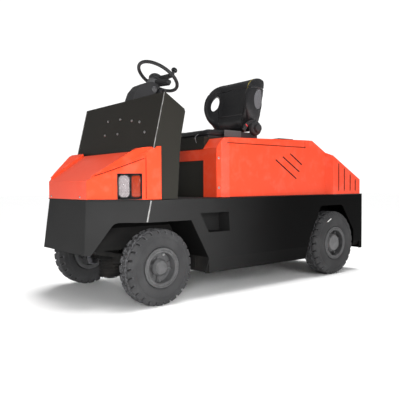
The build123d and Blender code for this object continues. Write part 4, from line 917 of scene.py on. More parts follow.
# Painted highlights down the nose's corners.
edges = []
for s in SIGNS:
    x = s * (HALF_WIDTH + 0.0002)
    path = np.linspace((x, -1.1225, 0.741), (x, -1.1555, 0.595), 20)
    edges.append(swept(path, round_section(0.0058, 8, 0.3), up=(s, 0, 0)))
piece("nose_edge_highlights", *joined(edges), "cut_edge", "chassis", 60.0)
print("dash bolts", len(DASH_BOLTS))

# %% [markdown]
# **Brow.** The hood's upper part hangs a finger's width over the lamp facet: a folded lip that
# starts from nothing at the nose corner and grows toward the rear. It is a wedge carried along the
# fold line, with the facet's outward direction as its depth, and it casts the lamp's top shadow.

# %% Brow over the lamps
def brow(s):
    """Along t from the nose corner (0) to the post (1): the fold line is straight, and the lip's
    depth out of the facet is 15 mm times a smooth step of t. The section is a triangle with a
    rounded nose."""
    t = np.linspace(0, 1, 40)[:, None]
    nose_corner = np.array([0.345 * s, NOSE_Y + 0.050, DECK_Z + 0.160])
    post_corner = np.array([HALF_WIDTH * s, NOSE_Y + 0.343, DECK_Z + 0.296])
    fold = nose_corner + (post_corner - nose_corner) * t
    out = facet_basis(s)[2]
    depth = 0.015 * smooth_step(t * 1.9) * smooth_step((1.02 - t) / 0.05) + 0.0004
    corners = ((-0.002, 0.022), (0.45, 0.010), (0.95, 0.002), (1.0, -0.001), (0.93, -0.0035),
               (-0.002, -0.0045),
               (-0.2, 0.004))
    ring = [fold + out * depth * a + np.array([0, 0, 1.0]) * b * np.minimum(1, depth / 0.012) for a,
            b in corners]
    return capped(np.stack(ring, 1))


piece("lamp_brows", *joined([brow(s) for s in SIGNS]), "body_paint", "chassis", 30.0)
# A painted shadow: a dark line along the brow's lower edge.
lines = []
for s in SIGNS:
    points = brow(s)[0].reshape(-1, 7, 3)
    edge = 0.35 * points[4:-2, 5] + 0.65 * points[4:-2, 4] - [0, 0, 0.0022]
    lines.append(swept(edge, round_section(0.0030, 8, 0.8), up=(0, 0, 1)))
piece("brow_shadow_lines", *joined(lines), "seam_shadow", "chassis", 60.0)
# The folds are body-paint beads; the post lines are painted shadow, dark lines down the post's edge.
folds, post_shadows = [], []
for s in SIGNS:
    run, rise, out = facet_basis(s)
    foot = np.array([s * 0.521, -1.245, 0]) - run * 0.118
    path = foot + rise * np.linspace(0.757, 0.955, 16)[:, None]
    folds.append(swept(path, round_section(0.0035, 8, 0.35), up=out))
    x = s * (HALF_WIDTH - 0.0005)
    path = np.linspace((x, -1.1612, 0.757), (x, -1.1612, 1.034), 20)
    post_shadows.append(swept(path, round_section(0.0022, 8, 0.6), up=out))
piece("facet_folds", *joined(folds), "body_paint", "chassis", 60.0)
piece("post_shadow_lines", *joined(post_shadows), "seam_shadow", "chassis", 60.0)
plan = ((-0.60, -1.1625), (-0.345, -1.4705), (0.345, -1.4705), (0.60, -1.1625))
path = along_points([(x * 0.993, y * 0.993, DECK_Z + 0.003) for x, y in plan], 121)
piece("hood_foot_strip", *swept(path, round_section(0.0040, 8)), "mat_rubber", "chassis", 60.0)
print("brows made")
# %% [markdown]
# ## Lamps
# Each nose facet has a square recess with a headlamp and a turn signal side by side. A lens is a
# shallow moulding with a crowned face; vertical flutes inside a headlamp's glass spread its beam
# sideways, and behind them is a bright bowl with a bulb. The lens could be one blob of glass, but a
# real one looks bright because light goes through it to the bowl, so both are made.

# %% Lens shapes
lamp_low, lamp_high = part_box("lamp_boxes")
LAMP_X = lamp_high.x - 0.0585
LAMP_Y = lamp_low.y + 0.0650
LAMP_Z = (lamp_low.z + lamp_high.z) / 2


def lamp_frame(s, along, outward):
    """A place on a nose facet, measured from its lamps' middle, and the facet's directions."""
    basis = facet_basis(s)
    return np.array([LAMP_X * s, LAMP_Y, LAMP_Z]) + basis[0] * along + basis[2] * outward, basis


def rounded_outline(wide, high, corner, steps=8):
    """A rectangle with round corners, counter-clockwise from its right side. Rows are (u, v)."""
    turn = np.linspace(0, math.pi / 2, steps)
    arcs = []
    for quarter, (u, v) in enumerate(((1, 1), (-1, 1), (-1, -1), (1, -1))):
        angle = turn + quarter * math.pi / 2
        arcs.append(np.stack([u * (wide / 2 - corner) + corner * np.cos(angle),
                              v * (high / 2 - corner) + corner * np.sin(angle)], 1))
    return np.concatenate(arcs)


def lens_form(wide, high, corner, crown, deep, flutes, flute_depth, upright=True):
    """A crowned lens. Ring t goes from the middle (0) to the edge (1); its height is
    crown (1 - t^3), less a rounded shoulder near the edge, plus flutes: a cosine across the face."""
    outline = rounded_outline(wide, high, corner, 14)
    rings = np.concatenate([np.linspace(0, 0.9, 19), [0.94, 0.97, 0.99, 1.0]])[:, None, None]
    flat = outline[None] * rings
    share = rings[..., 0]
    level = crown * (1 - share ** 3) - 0.006 * np.clip((share - 0.9) / 0.1, 0, 1) ** 2
    across = flat[..., 0] if upright else flat[..., 1]
    level = level + flute_depth * np.cos(across / flutes * 2 * math.pi) * smooth_step((0.93 - share) / 0.04)
    points = np.concatenate([flat, level[..., None]], -1)
    back = np.concatenate([outline, np.full((len(outline), 1), -deep)], 1)[None]
    points = np.concatenate([points, back, back * [0, 0, 1]])
    return points.reshape(-1, 3), grid_faces(len(points), len(outline), close_columns=True)


def placed(form, place, basis):
    """Carries a form to a place with a basis of row directions."""
    return form[0] @ basis + place, form[1]


lenses, bowls, bulbs, ambers, bezels = [], [], [], [], []
for s in SIGNS:
    place, basis = lamp_frame(s, -0.042, -0.012)
    lenses.append(placed(lens_form(0.078, 0.154, 0.030, 0.006, 0.004, 0.0062, 0.0005), place, basis))
    place, basis = lamp_frame(s, -0.042, -0.030)
    bowl = [(0.0, -0.030), (0.012, -0.030), (0.026, -0.020), (0.034, -0.006), (0.0365, 0.0)]
    bowl_points, bowl_faces = turned(bowl + [(0.038, 0.0), (0.038, -0.034), (0.0, -0.034)], turns=40)
    bowls.append((bowl_points * [1, 1.95, 1] @ basis + place, bowl_faces))
    bulbs.append(placed(turned([(0, 0.004), (0.005, 0.002), (0.0065, -0.006), (0.0065, -0.028), (0, -0.028)],
                               turns=20), place, basis))
    place, basis = lamp_frame(s, 0.040, -0.019)
    ambers.append(placed(lens_form(0.066, 0.152, 0.018, 0.005, 0.040, 0.0085, 0.0007, upright=False),
                         place, basis))
    for along, wide, high, corner, out in ((-0.042, 0.081, 0.157, 0.031, -0.014),
                                           (0.040, 0.069, 0.155, 0.020, -0.022)):
        place, basis = lamp_frame(s, along, out)
        bezels.append(bead(rounded_outline(wide, high, corner, 10), 0.0028, place, basis, flat=1.4))
clear = piece("headlamp_glasses", *joined(lenses), "lamp_lens", "chassis", 50.0)
piece("headlamp_bowls", *joined(bowls), "reflector", "chassis", 60.0, slot="lamp_lens")
piece("headlamp_bulbs", *joined(bulbs), "chalk", "chassis", 60.0, slot="lamp_lens")
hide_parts("headlamps")
amber = piece("turn_signal_lenses", *joined(ambers), "amber_lens", "chassis", 50.0)
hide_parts("indicators")
piece("lamp_bezels", *joined(bezels), "black_plastic", "chassis", 60.0)
print("lamps at", [round(float(value), 3) for value in place])

# %% [markdown]
# The tail lamps keep their CAD block; a ribbed red cover with an amber band sits on each, and a bead
# marks its edge. Their lenses face straight back.

# %% Tail lamps
tail_low, tail_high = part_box("tail_lamps")
covers, bands, rims = [], [], []
for s in SIGNS:
    x = s * (tail_high.x - 0.055)
    z = (tail_low.z + tail_high.z) / 2
    basis = np.array([[-1, 0, 0], [0, 0, 1], [0, 1, 0]], float)
    covers.append(placed(lens_form(0.106, 0.076, 0.010, 0.003, 0.004, 0.0058, 0.0005, upright=False),
                         (x, tail_high.y - 0.002, z), basis))
    rims.append(bead(rounded_outline(0.108, 0.078, 0.011), 0.0022, (x, tail_high.y - 0.002, z), basis,
                     flat=1.2))
    bands.append(placed(lens_form(0.028, 0.066, 0.006, 0.0015, 0.001, 0.0040, 0.0003),
                        (x - s * 0.030, tail_high.y + 0.0022, z), basis))
piece("tail_lamp_covers", *joined(covers), "red_lens", "chassis", 50.0)
piece("tail_lamp_signals", *joined(bands), "amber_lens", "chassis", 50.0)
piece("tail_lamp_rims", *joined(rims), "black_plastic", "chassis", 60.0)
print("tail lamps", len(covers))
# %% [markdown]
# ## Steering wheel
# The frame's wheel has the right rim circle and column line, and it is replaced by the moulded one:
# a rim with finger waves on its underside, a dished hub with a domed cap, two broad flat spokes
# and a spinner knob, as a driver steers a tug with one hand. The rim is a torus whose tube radius
# dips a little on the inside; the spokes are sections carried from hub to rim.

# %% Wheel axes
steer = next(joint for joint in frame["joints"] if joint["child"] == "steering_wheel")
column_axis = np.array(steer["axis"], float)
column_axis = column_axis * np.sign(column_axis[2]) / np.linalg.norm(column_axis)
WHEEL_R = 0.173
RIM_TUBE = 0.0138
HUB = np.array(steer["pos_m"], float)
PLANE_X = np.array([1.0, 0.0, 0.0])
PLANE_Y = np.cross(column_axis, PLANE_X)


def in_wheel(degrees, radius, level=0.0):
    """A point at an angle and radius round the column, level along it; 0 degrees is to the left."""
    angle = np.radians(degrees)
    radius = np.asarray(radius)[..., None] if np.ndim(radius) else radius
    level = np.asarray(level)[..., None] if np.ndim(level) else level
    cosine, sine = np.cos(angle), -np.sin(angle)
    if np.ndim(angle):
        cosine, sine = cosine[..., None], sine[..., None]
    return HUB + radius * (cosine * PLANE_X + sine * PLANE_Y) + level * column_axis


print("hub", HUB.round(4), "axis", column_axis.round(4))

# %% Rim, hub, spokes and knob
def wheel_rim():
    """A torus: tube angle b at turn a. Its underside ripples: the tube radius grows by 0.6 mm times
    cos(60 a) where the tube faces down."""
    a = np.linspace(0, 360, 480, endpoint=False)[:, None]
    b = np.linspace(0, 2 * math.pi, 20, endpoint=False)[None, :]
    below = np.clip(-np.sin(b), 0, 1) ** 0.7
    tube = RIM_TUBE + 0.0006 * below * np.cos(np.radians(a) * 60)
    points = in_wheel(a + 0 * b, WHEEL_R + tube * np.cos(b), tube * np.sin(b))
    return points.reshape(-1, 3), grid_faces(480, 20, True, True)


def hub_bar(degrees, out, half, level, thick, powers):
    """A bar square to the column. At each distance out from the hub it has a half width, a level
    along the column and a half thickness; its section is a rectangle with round corners."""
    u, v = rounded_wave(28, *powers)
    forth = in_wheel(degrees, 1.0) - HUB
    aside = np.cross(column_axis, forth)
    return capped(HUB + out[:, None, None] * forth + (half[:, None] * u)[..., None] * aside
                  + (level[:, None] + thick[:, None] * v)[..., None] * column_axis)


def spoke(degrees):
    """A flat bar from hub to rim. Along it t runs 0 to 1: half width 34 mm at the hub narrowing to
    22 mm, level rising from the dished hub to the rim's plane by a smooth step."""
    t = np.linspace(0, 1, 26)
    half = 0.034 - 0.012 * smooth_step(t * 1.25)
    level = -0.028 * (1 - smooth_step((t - 0.10) / 0.88))
    return hub_bar(degrees, 0.030 + (WHEEL_R - 0.030) * t, half, level, 0.0085 - 0.0025 * t, (0.5, 0.6))


SPOKES = (-9.0, 186.0)
hub_rows = [(0, 0.010), (0.018, 0.0095), (0.034, 0.006), (0.047, -0.003), (0.056, -0.014), (0.061, -0.026),
            (0.063, -0.036), (0.060, -0.045), (0.052, -0.050), (0, -0.050)]
rim = piece("wheel_rim", *wheel_rim(), "black_plastic", "steering_wheel", 60.0)
piece("wheel_hub", *joined([turned(hub_rows, HUB, column_axis)] + [spoke(degrees) for degrees in SPOKES]),
      "black_plastic", "steering_wheel", 50.0)
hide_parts("steering_wheel")
KNOB_DEGREES = -6.0
knob_place = in_wheel(KNOB_DEGREES, WHEEL_R)
knob_rows = [(0, 0.062), (0.010, 0.0615), (0.018, 0.058), (0.0235, 0.051), (0.025, 0.043), (0.0235, 0.036),
             (0.018, 0.031), (0.011, 0.029), (0.0085, 0.026), (0.0085, 0.006), (0.0, 0.006)]
clamp_rows = [(0, 0.018), (0.0145, 0.018), (0.0165, 0.015), (0.0165, -0.012), (0.0145, -0.0155), (0, -0.0155)]
piece("spinner_knob", *turned(knob_rows, knob_place, column_axis, 36), "glass_black", "steering_wheel", 50.0,
      slot="black_plastic")
piece("knob_clamp", *turned(clamp_rows, knob_place, column_axis, 32), "black_plastic", "steering_wheel", 50.0)
print("spinner knob at", knob_place.round(3))

# %% [markdown]
# Below the wheel a grey collar carries the direction switch, a short moulded arm to the driver's
# left with a small screw at its end. The column's cover has a round clamp screw on its left flank
# and a lock housing beside it.

# %% Collar and direction switch
collar_rows = [(0, -0.0515), (0.050, -0.0515), (0.0535, -0.0545), (0.0535, -0.094), (0.0550, -0.097),
               (0.0550, -0.112), (0, -0.112)]
piece("switch_collar", *turned(collar_rows, HUB, column_axis, 48), "collar_grey", "chassis", 45.0,
      slot="black_plastic")


SWITCH_DEGREES = -9.0


def switch_arm():
    """A tapered bar square to the column: half width 32 mm falling to 23 mm, a rounded end."""
    t = np.linspace(0, 1, 20)
    half = (0.032 - 0.009 * t) * np.sqrt(np.clip(1 - np.clip((t - 0.86) / 0.14, 0, 1) ** 2, 0.02, 1))
    return hub_bar(SWITCH_DEGREES, 0.035 + 0.154 * t, half, -0.071 + 0 * t, 0.017 + 0 * t, (0.4, 0.5))


piece("direction_switch", *switch_arm(), "black_plastic", "chassis", 45.0)
arm_end = in_wheel(SWITCH_DEGREES, 0.172, -0.054)
piece("switch_screw", *copies(dome_form(0.0075, 0.004), [(arm_end, column_axis)]), "steel", "chassis", 50.0)
clamp = on_panel("column_cover", (0.9, -0.795, 1.606), (-1, 0, 0))
ring = [(0, 0.013), (0.009, 0.013), (0.012, 0.0115), (0.0135, 0.008), (0.021, 0.0075), (0.0235, 0.005),
        (0.0245, 0),
        (0.0245, -0.002), (0, -0.002)]
piece("cover_clamp_screw", *turned(ring, clamp[0], clamp[1], 36), "collar_grey", "chassis", 45.0,
      slot="black_plastic")
housing = soft_box((0.085, -0.752, 1.560), (0.182, -0.690, 1.617), 0.010)
barrel = turned([(0, 0.030), (0.011, 0.030), (0.0135, 0.027), (0.0135, 0.0), (0.0215, -0.002),
                 (0.0215, -0.012),
                 (0, -0.012)], (0.182, -0.721, 1.590), (1, 0, 0), 32)
piece("lock_housing", *joined([housing, barrel]), "black_plastic", "chassis", 45.0)
print("switch arm, lock housing and clamp screw made")

# %% [markdown]
# **Pedals, mat and panel.** Rubber pads with cross ribs cover the two pedals, a ribbed mat lies on
# the deck in front of the seat, and the panel that faces the driver holds a charge display, a key
# switch and rockers. All are blank of lettering.

# %% Pedals and mat
pedal_low, pedal_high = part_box("pedals")


def ribbed_sheet(low, high, y_of, ribs_along, pitch, depth, thick, steps):
    """A sheet over (x, t): its top is raised by depth where a wave of t or x is above zero."""
    x = np.linspace(low[0], high[0], steps[0])[:, None]
    t = np.linspace(low[1], high[1], steps[1])[None, :]
    along = x + 0 * t if ribs_along == "x" else t + 0 * x
    rise = depth * smooth_step((np.sin(along / pitch * 2 * math.pi) + 0.3) * 1.6)
    top = np.stack([x + 0 * t, *y_of(t + 0 * x, thick + rise)], -1)
    base = np.stack([x + 0 * t, *y_of(t + 0 * x, 0 * rise)], -1)
    tall = np.concatenate([base[:1], base, base[-1:]])
    ring_top = np.concatenate([base[:1], top, base[-1:]])
    shell = np.concatenate([tall[:, :1], ring_top, tall[:, -1:]], 1)
    rows, columns = shell.shape[:2]
    outer = shell.reshape(-1, 3), grid_faces(rows, columns)
    under = base.reshape(-1, 3), grid_faces(base.shape[0], base.shape[1])
    return joined([outer, under])


def on_pedal(t, rise):
    return pedal_high.y + rise - 0.0002, t


def on_deck(t, rise):
    return t, DECK_Z + 0.0002 + rise


PAD_PAST = 0.002
pads = [ribbed_sheet((middle - half - PAD_PAST, pedal_low.z - PAD_PAST),
                     (middle + half + PAD_PAST, pedal_high.z + PAD_PAST),
                     on_pedal, "t", 0.0125, 0.0025, 0.003, (14, 64))
        for middle, half in ((0.170, 0.0375), (0.040, 0.0475))]
piece("pedal_pads", *joined(pads), "mat_rubber", "chassis", 40.0)
mat = ribbed_sheet((-0.560, -0.925), (0.560, -0.470), on_deck, "x", 0.020, 0.0018, 0.0025, (420, 6))
piece("floor_mat", *mat, "mat_rubber", "chassis", 40.0)
print("pads and mat", len(mat[1]), "faces")

# %% Instruments
def on_face(x, z):
    """A place on the instrument panel, and the panel's outward direction."""
    return on_panel("dash_panel", (x, 0.2, z), (0, -1, 0))


display_place, normal = on_face(0.345, 1.330)
basis = frame_of(normal)
housing = pad(rounded_outline(0.150, 0.100, 0.010), 0.008, display_place, basis)
piece("display_housing", *housing, "black_plastic", "chassis", 40.0)
glass = pad(rounded_outline(0.118, 0.060, 0.004), 0.0095, display_place, basis)
piece("display_glass", *glass, "glass_black", "chassis", 40.0, slot="black_plastic")
bars = [pad(rounded_outline(0.007, 0.010 + 0.003 * k, 0.001), 0.0101,
            display_place + basis[0] * (-0.035 + 0.011 * k)
            + basis[1] * (0.0015 * k - 0.012), basis) for k in range(7)]
piece("charge_bars", *joined(bars), "amber_lens", "chassis", 40.0)
switches, rockers = [], []
for k in range(4):
    place, normal = on_face(-0.235 + 0.048 * k, 1.330)
    basis = frame_of(normal)
    switches.append(pad(rounded_outline(0.032, 0.052, 0.004), 0.004, place, basis))
    for half, rise in ((0.011, 0.0095), (-0.011, 0.0065)):
        rockers.append(pad(rounded_outline(0.024, 0.021, 0.003), rise, place + basis[1] * half, basis))
piece("switch_frames", *joined(switches), "black_plastic", "chassis", 40.0)
piece("rockers", *joined(rockers), "glass_black", "chassis", 40.0, slot="black_plastic")
key_place, normal = on_face(0.470, 1.330)
key_rows = [(0, 0.006), (0.004, 0.006), (0.0045, 0.010), (0.011, 0.010), (0.0125, 0.008),
            (0.0175, 0.005), (0.0185, 0),
            (0.0185, -0.002), (0, -0.002)]
piece("key_switch", *turned(key_rows, key_place, normal, 36), "steel", "chassis", 45.0)
stop_place, normal = on_face(0.235, 1.340)
stop_rows = [(0, 0.034), (0.012, 0.033), (0.0185, 0.029), (0.020, 0.024), (0.0175, 0.020),
             (0.011, 0.018), (0.011, 0.004),
             (0.017, 0.004), (0.018, 0.0), (0.018, -0.002), (0, -0.002)]
piece("stop_button", *turned(stop_rows, stop_place, normal, 36), "red_plastic", "chassis", 45.0,
      slot="red_lens")
print("instruments set")
# %% [markdown]
# ## Seat
# The backrest wraps the driver: a curved back, a thick roll along its top, and two wings that reach
# forward, the right one with an oval grip hole. Seen from above, each height is a horseshoe. So the
# start shape is a stack of horseshoes: a few corner points that slide with height, rounded by a
# closed Catmull-Rom curve. Then the shape is remeshed into even squares, cut, and inflated with
# Blender's cloth, which pulls the cover tight over the edges as foam does.

# %% Cloth steps
def worked_out(made):
    """The object's mesh with its modifiers worked out, as plain data."""
    graph = bpy.context.evaluated_depsgraph_get()
    graph.update()
    fresh = bpy.data.meshes.new_from_object(made.evaluated_get(graph))
    made.modifiers.clear()
    fresh.materials.clear()
    fresh.materials.append(made.data.materials[0])
    made.data = fresh
    return fresh


def coordinates(mesh):
    """The vertices' places, (n, 3)."""
    places = np.empty(len(mesh.vertices) * 3)
    mesh.vertices.foreach_get("co", places)
    return places.reshape(-1, 3)


def normals(mesh):
    """The vertices' outward directions, (n, 3)."""
    directions = np.empty(len(mesh.vertices) * 3, np.float32)
    mesh.vertex_normals.foreach_get("vector", directions)
    return directions.reshape(-1, 3).astype(float)


def place_all(mesh, places):
    mesh.vertices.foreach_set("co", np.ascontiguousarray(places).ravel())
    mesh.update()


def remeshed(made, voxel):
    """Even squares of one size over the whole closed surface."""
    remesh = made.modifiers.new("squares", "REMESH")
    remesh.mode = "VOXEL"
    remesh.voxel_size = voxel
    return worked_out(made)


def puffed(made, pressure, cap):
    """Inflates the cover with cloth for twenty frames; no point moves further than cap."""
    before = coordinates(made.data)
    cloth = made.modifiers.new("cover", "CLOTH")
    cloth.settings.quality = 5
    cloth.settings.mass = 0.3
    cloth.settings.tension_stiffness = 15
    cloth.settings.compression_stiffness = 15
    cloth.settings.bending_stiffness = 4
    cloth.settings.use_pressure = True
    cloth.settings.uniform_pressure_force = pressure
    cloth.settings.effector_weights.gravity = 0
    for frame_number in range(1, 21):
        bpy.context.scene.frame_set(frame_number)
    mesh = worked_out(made)
    bpy.context.scene.frame_set(1)
    moved = coordinates(mesh) - before
    size = np.linalg.norm(moved, axis=1, keepdims=True)
    place_all(mesh, before + moved * np.minimum(1, cap / np.maximum(size, 1e-9)))
    print(made.name, "moved by up to", round(float(size.max()) * 1000, 1), "mm, held to", cap * 1000)
    return mesh


def divided(made):
    """One smooth subdivision, worked out."""
    finer = made.modifiers.new("finer", "SUBSURF")
    finer.levels = finer.render_levels = 1
    return worked_out(made)


def smoothed(made, repeat):
    """Evens the surface out by moving each point toward its neighbours' middle."""
    even = made.modifiers.new("even", "SMOOTH")
    even.iterations = repeat
    even.factor = 0.5
    return worked_out(made)


print("cloth steps ready")

# %% Horseshoe sections
def closed_curve(corners, per_side):
    """Catmull-Rom through closed corners (..., n, 2): a point at t between corners 1 and 2 is
    0.5 (2 p1 + (p2 - p0) t + (2 p0 - 5 p1 + 4 p2 - p3) t^2 + (3 p1 - p0 - 3 p2 + p3) t^3)."""
    p0, p1, p2, p3 = (np.roll(corners, shift, -2)[..., :, None, :] for shift in (1, 0, -1, -2))
    t = np.linspace(0, 1, per_side, endpoint=False)[:, None]
    curve = 0.5 * (2 * p1 + (p2 - p0) * t + (2 * p0 - 5 * p1 + 4 * p2 - p3) * t ** 2
                   + (3 * p1 - p0 - 3 * p2 + p3) * t ** 3)
    return curve.reshape(*corners.shape[:-2], -1, 2)


HEIGHTS = (1.312, 1.340, 1.392, 1.420, 1.453, 1.500, 1.543, 1.590, 1.637, 1.690, 1.738, 1.772, 1.799)
BACK_Y = (0.166, 0.182, 0.204, 0.213, 0.222, 0.232, 0.242, 0.250, 0.258, 0.266, 0.272, 0.274, 0.262)
FRONT_Y = (0.100, 0.086, 0.072, 0.068, 0.072, 0.083, 0.094, 0.103, 0.113, 0.123, 0.130, 0.138, 0.150)
RIGHT_REACH = (0.094, 0.078, 0.048, 0.024, -0.002, -0.024, -0.034, -0.031, -0.018, 0.018, 0.066, 0.108, 0.140)
LEFT_REACH = (0.100, 0.092, 0.080, 0.068, 0.050, 0.034, 0.026, 0.026, 0.034, 0.062, 0.104, 0.130, 0.148)
HALF_WIDE = (0.216, 0.230, 0.247, 0.253, 0.258, 0.262, 0.264, 0.264, 0.264, 0.263, 0.261, 0.258, 0.250)
ROWS = 96


def backrest_form():
    """A stack of horseshoes. The last rows at each end draw in to the section's middle line, by
    sqrt(1 - e^2), which rounds the top roll and the foot."""
    z = np.linspace(HEIGHTS[0], HEIGHTS[-1], ROWS)
    back, front, left, right, half = (np.interp(z, HEIGHTS, row)
                                      for row in (BACK_Y, FRONT_Y, LEFT_REACH, RIGHT_REACH, HALF_WIDE))

    def flank(reach, sign):
        depth = np.clip((front - reach) / 0.06, 0, 1)
        corners = ((0.30, back), (0.62, back - 0.001), (0.88, back - 0.006), (0.982, back - 0.024),
                   (1.0, (back + reach) / 2 + 0.01), (0.985, reach + 0.034), (0.935,
                                                                              reach + 0.006), (0.870, reach),
                   (0.815, reach + 0.014 * depth), (0.775, reach + (front - reach) * 0.55 * depth + 0.004),
                   (0.700, reach + (front - reach) * 0.90), (0.560, front + 0.006), (0.280, front + 0.012))
        return [np.stack([sign * share * half, y + 0 * half], 1) for share, y in corners]

    corners = flank(left, 1) + flank(right, -1)[::-1]
    rings = closed_curve(np.stack(corners, 1), 9)
    ends = np.clip((np.abs(z - (z[0] + z[-1]) / 2) - (z[-1] - z[0]) / 2 + 0.036) / 0.036, 0, 1)
    shrink = np.sqrt(1 - ends ** 2 * 0.985)[:, None]
    middle = ((back + front) / 2)[:, None]
    across = rings[..., 0] * (0.88 + 0.12 * shrink)
    deep = middle + (rings[..., 1] - middle) * shrink
    points = np.stack([SEAT_X + across, deep, z[:, None] + 0 * across], -1)
    caps = points.mean(1, keepdims=True) * [0, 1, 1] + points * [1, 0, 0]
    points = np.concatenate([caps[:1], points, caps[-1:]])
    return points.reshape(-1, 3), grid_faces(ROWS + 2, points.shape[1], close_columns=True)


back_points, back_faces = backrest_form()
print("backrest sections", ROWS, "points", len(back_points))

# %% [markdown]
# The grip hole is bored square to the wing's inner wall, which is splayed, by an oval bar; the
# remesh afterwards rounds the cut's edge a little and the cloth does the rest.

# %% Backrest
def oval_bar(centre, axis, wide, high, lean, length):
    """An oval bar along an axis: half sizes wide and high, leaning by lean degrees."""
    basis = frame_of(axis)
    angle = np.linspace(0, 2 * math.pi, 40, endpoint=False)
    tilt = math.radians(lean)
    u = wide * np.cos(angle) * math.cos(tilt) - high * np.sin(angle) * math.sin(tilt)
    v = wide * np.cos(angle) * math.sin(tilt) + high * np.sin(angle) * math.cos(tilt)
    rings = [np.outer(u * k, basis[0]) + np.outer(v * k, basis[1]) + basis[2] * l + np.asarray(centre)
             for k, l in ((0, -length), (1, -length), (1, length), (0, length))]
    return np.concatenate(rings), grid_faces(4, 40, close_columns=True)


backrest = piece("backrest_cover", back_points, back_faces, "seat_cover", "backrest", 180.0)
remeshed(backrest, 0.0075)
bar_points, bar_faces = oval_bar((-0.112, 0.086, 1.604), (-0.85, 0.50, 0.0), 0.034, 0.074, 24.0, 0.090)
bar = piece("grip_cutter", bar_points, bar_faces, "seat_cover", "backrest")
cut = backrest.modifiers.new("grip", "BOOLEAN")
cut.object = bar
cut.solver = "EXACT"
worked_out(backrest)
bpy.data.objects.remove(bar)
remeshed(backrest, 0.0075)
smoothed(backrest, 4)
puffed(backrest, 4.0, 0.007)
smoothed(backrest, 3)
mesh = divided(backrest)
print("backrest faces", len(mesh.polygons))

# %% [markdown]
# Seams come last, because a remesh wipes out anything narrower than a square. A seam is a groove:
# each point sinks along its normal by a depth times a bell of its distance from the seam's line.
# The left wing also has a shallow oval recess on its outer side, which holds a grey insert.

# %% Backrest seams and recess
def groove_by(distance, width, depth):
    """How far to sink at a distance from a seam."""
    return depth * np.exp(-(distance / width) ** 2)


RECESS = np.array([0.176, 1.598])
places = coordinates(mesh)
outward = normals(mesh)
x, y, z = places[:, 0] - SEAT_X, places[:, 1], places[:, 2]
front_face = smooth_step((-outward[:, 1] - 0.1) / 0.4)
roll_line = 1.715 - 0.02 * (np.abs(x) / 0.25) ** 2
sink = groove_by(z - roll_line, 0.0050, 0.0065)
inner_line = 0.158 + 0.030 * smooth_step((z - 1.40) / 0.25)
sink += groove_by(np.abs(x) - inner_line, 0.0045, 0.0045) * front_face * (z < 1.70)
sink += groove_by(z - 1.470, 0.0045, 0.0035) * front_face * (np.abs(x) < inner_line)
rear_face = smooth_step((outward[:, 1] - 0.3) / 0.4)
sink += groove_by(np.abs(x) - 0.205, 0.0040, 0.0030) * rear_face * (z > 1.36) * (z < 1.74)
places = places - outward * sink[:, None]
lean = math.radians(10)
u = (y - RECESS[0]) * math.cos(lean) - (z - RECESS[1]) * math.sin(lean)
v = (y - RECESS[0]) * math.sin(lean) + (z - RECESS[1]) * math.cos(lean)
oval = np.sqrt((u / 0.060) ** 2 + (v / 0.092) ** 2)
on_left = smooth_step((outward[:, 0] - 0.35) / 0.3) * (x > 0.20)
places[:, 0] -= 0.011 * smooth_step((1.10 - oval) / 0.22) * on_left
place_all(mesh, places)
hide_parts("backrest")
back_tree = BVHTree.FromPolygons([tuple(place) for place in coordinates(mesh)],
                                 [tuple(face.vertices) for face in mesh.polygons])


def on_cover(start, direction):
    """Where a ray meets the backrest's finished cover."""
    return shot(back_tree, start, direction)[0]


print("deepest seam", round(float(sink.max()) * 1000, 1), "mm")

# %% [markdown]
# The insert is a grey oval moulding in the recess, and a bright piping runs down the inner edge of
# the left wing from the roll. The piping's line is found on the finished cover by rays.

# %% Insert and piping
angle = np.linspace(0, 2 * math.pi, 60, endpoint=False)
rings = []
for k, lift in ((1.0, -0.004), (0.98, 0.001), (0.9, 0.0028), (0.6, 0.0036), (0.3, 0.004), (0.0, 0.0042)):
    u = 0.057 * k * np.cos(angle)
    v = 0.089 * k * np.sin(angle)
    ys = RECESS[0] + u * math.cos(lean) + v * math.sin(lean)
    zs = RECESS[1] - u * math.sin(lean) + v * math.cos(lean)
    xs = np.array([on_cover((0.6, a, b), (-1, 0, 0))[0] for a, b in zip(ys, zs)])
    rings.append(np.stack([xs + lift, ys, zs], 1))
rings.append(np.stack([rings[-1][:, 0] - 0.008, rings[-1][:, 1], rings[-1][:, 2]], 1))
points = np.array(rings).reshape(-1, 3)
piece("wing_insert", points, grid_faces(len(rings), 60, True, True), "grey_plastic", "backrest", 50.0,
      slot="black_plastic")
levels = np.linspace(1.615, 1.782, 60)
xs = SEAT_X + 0.166 + 0.036 * smooth_step((levels - 1.62) / 0.16)
line = eased(np.array([on_cover((a, -0.5, b), (0, 1, 0)) for a, b in zip(xs, levels)]), 30)
piece("wing_piping", *swept(line + [0, -0.0012, 0], round_section(0.0024, 8), up=(0, -1, 0)), "thread",
      "backrest",
      60.0, slot="seat_cover")
print("piping points", len(line))

# %% [markdown]
# **Cushion.** A seat pad is crowned in the middle, rises in a bolster at each side, and rolls down
# over its front edge. Its start shape is a superellipse plan; the height comes from a formula.

# %% Cushion
cushion_low, cushion_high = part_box("seat_cushion")


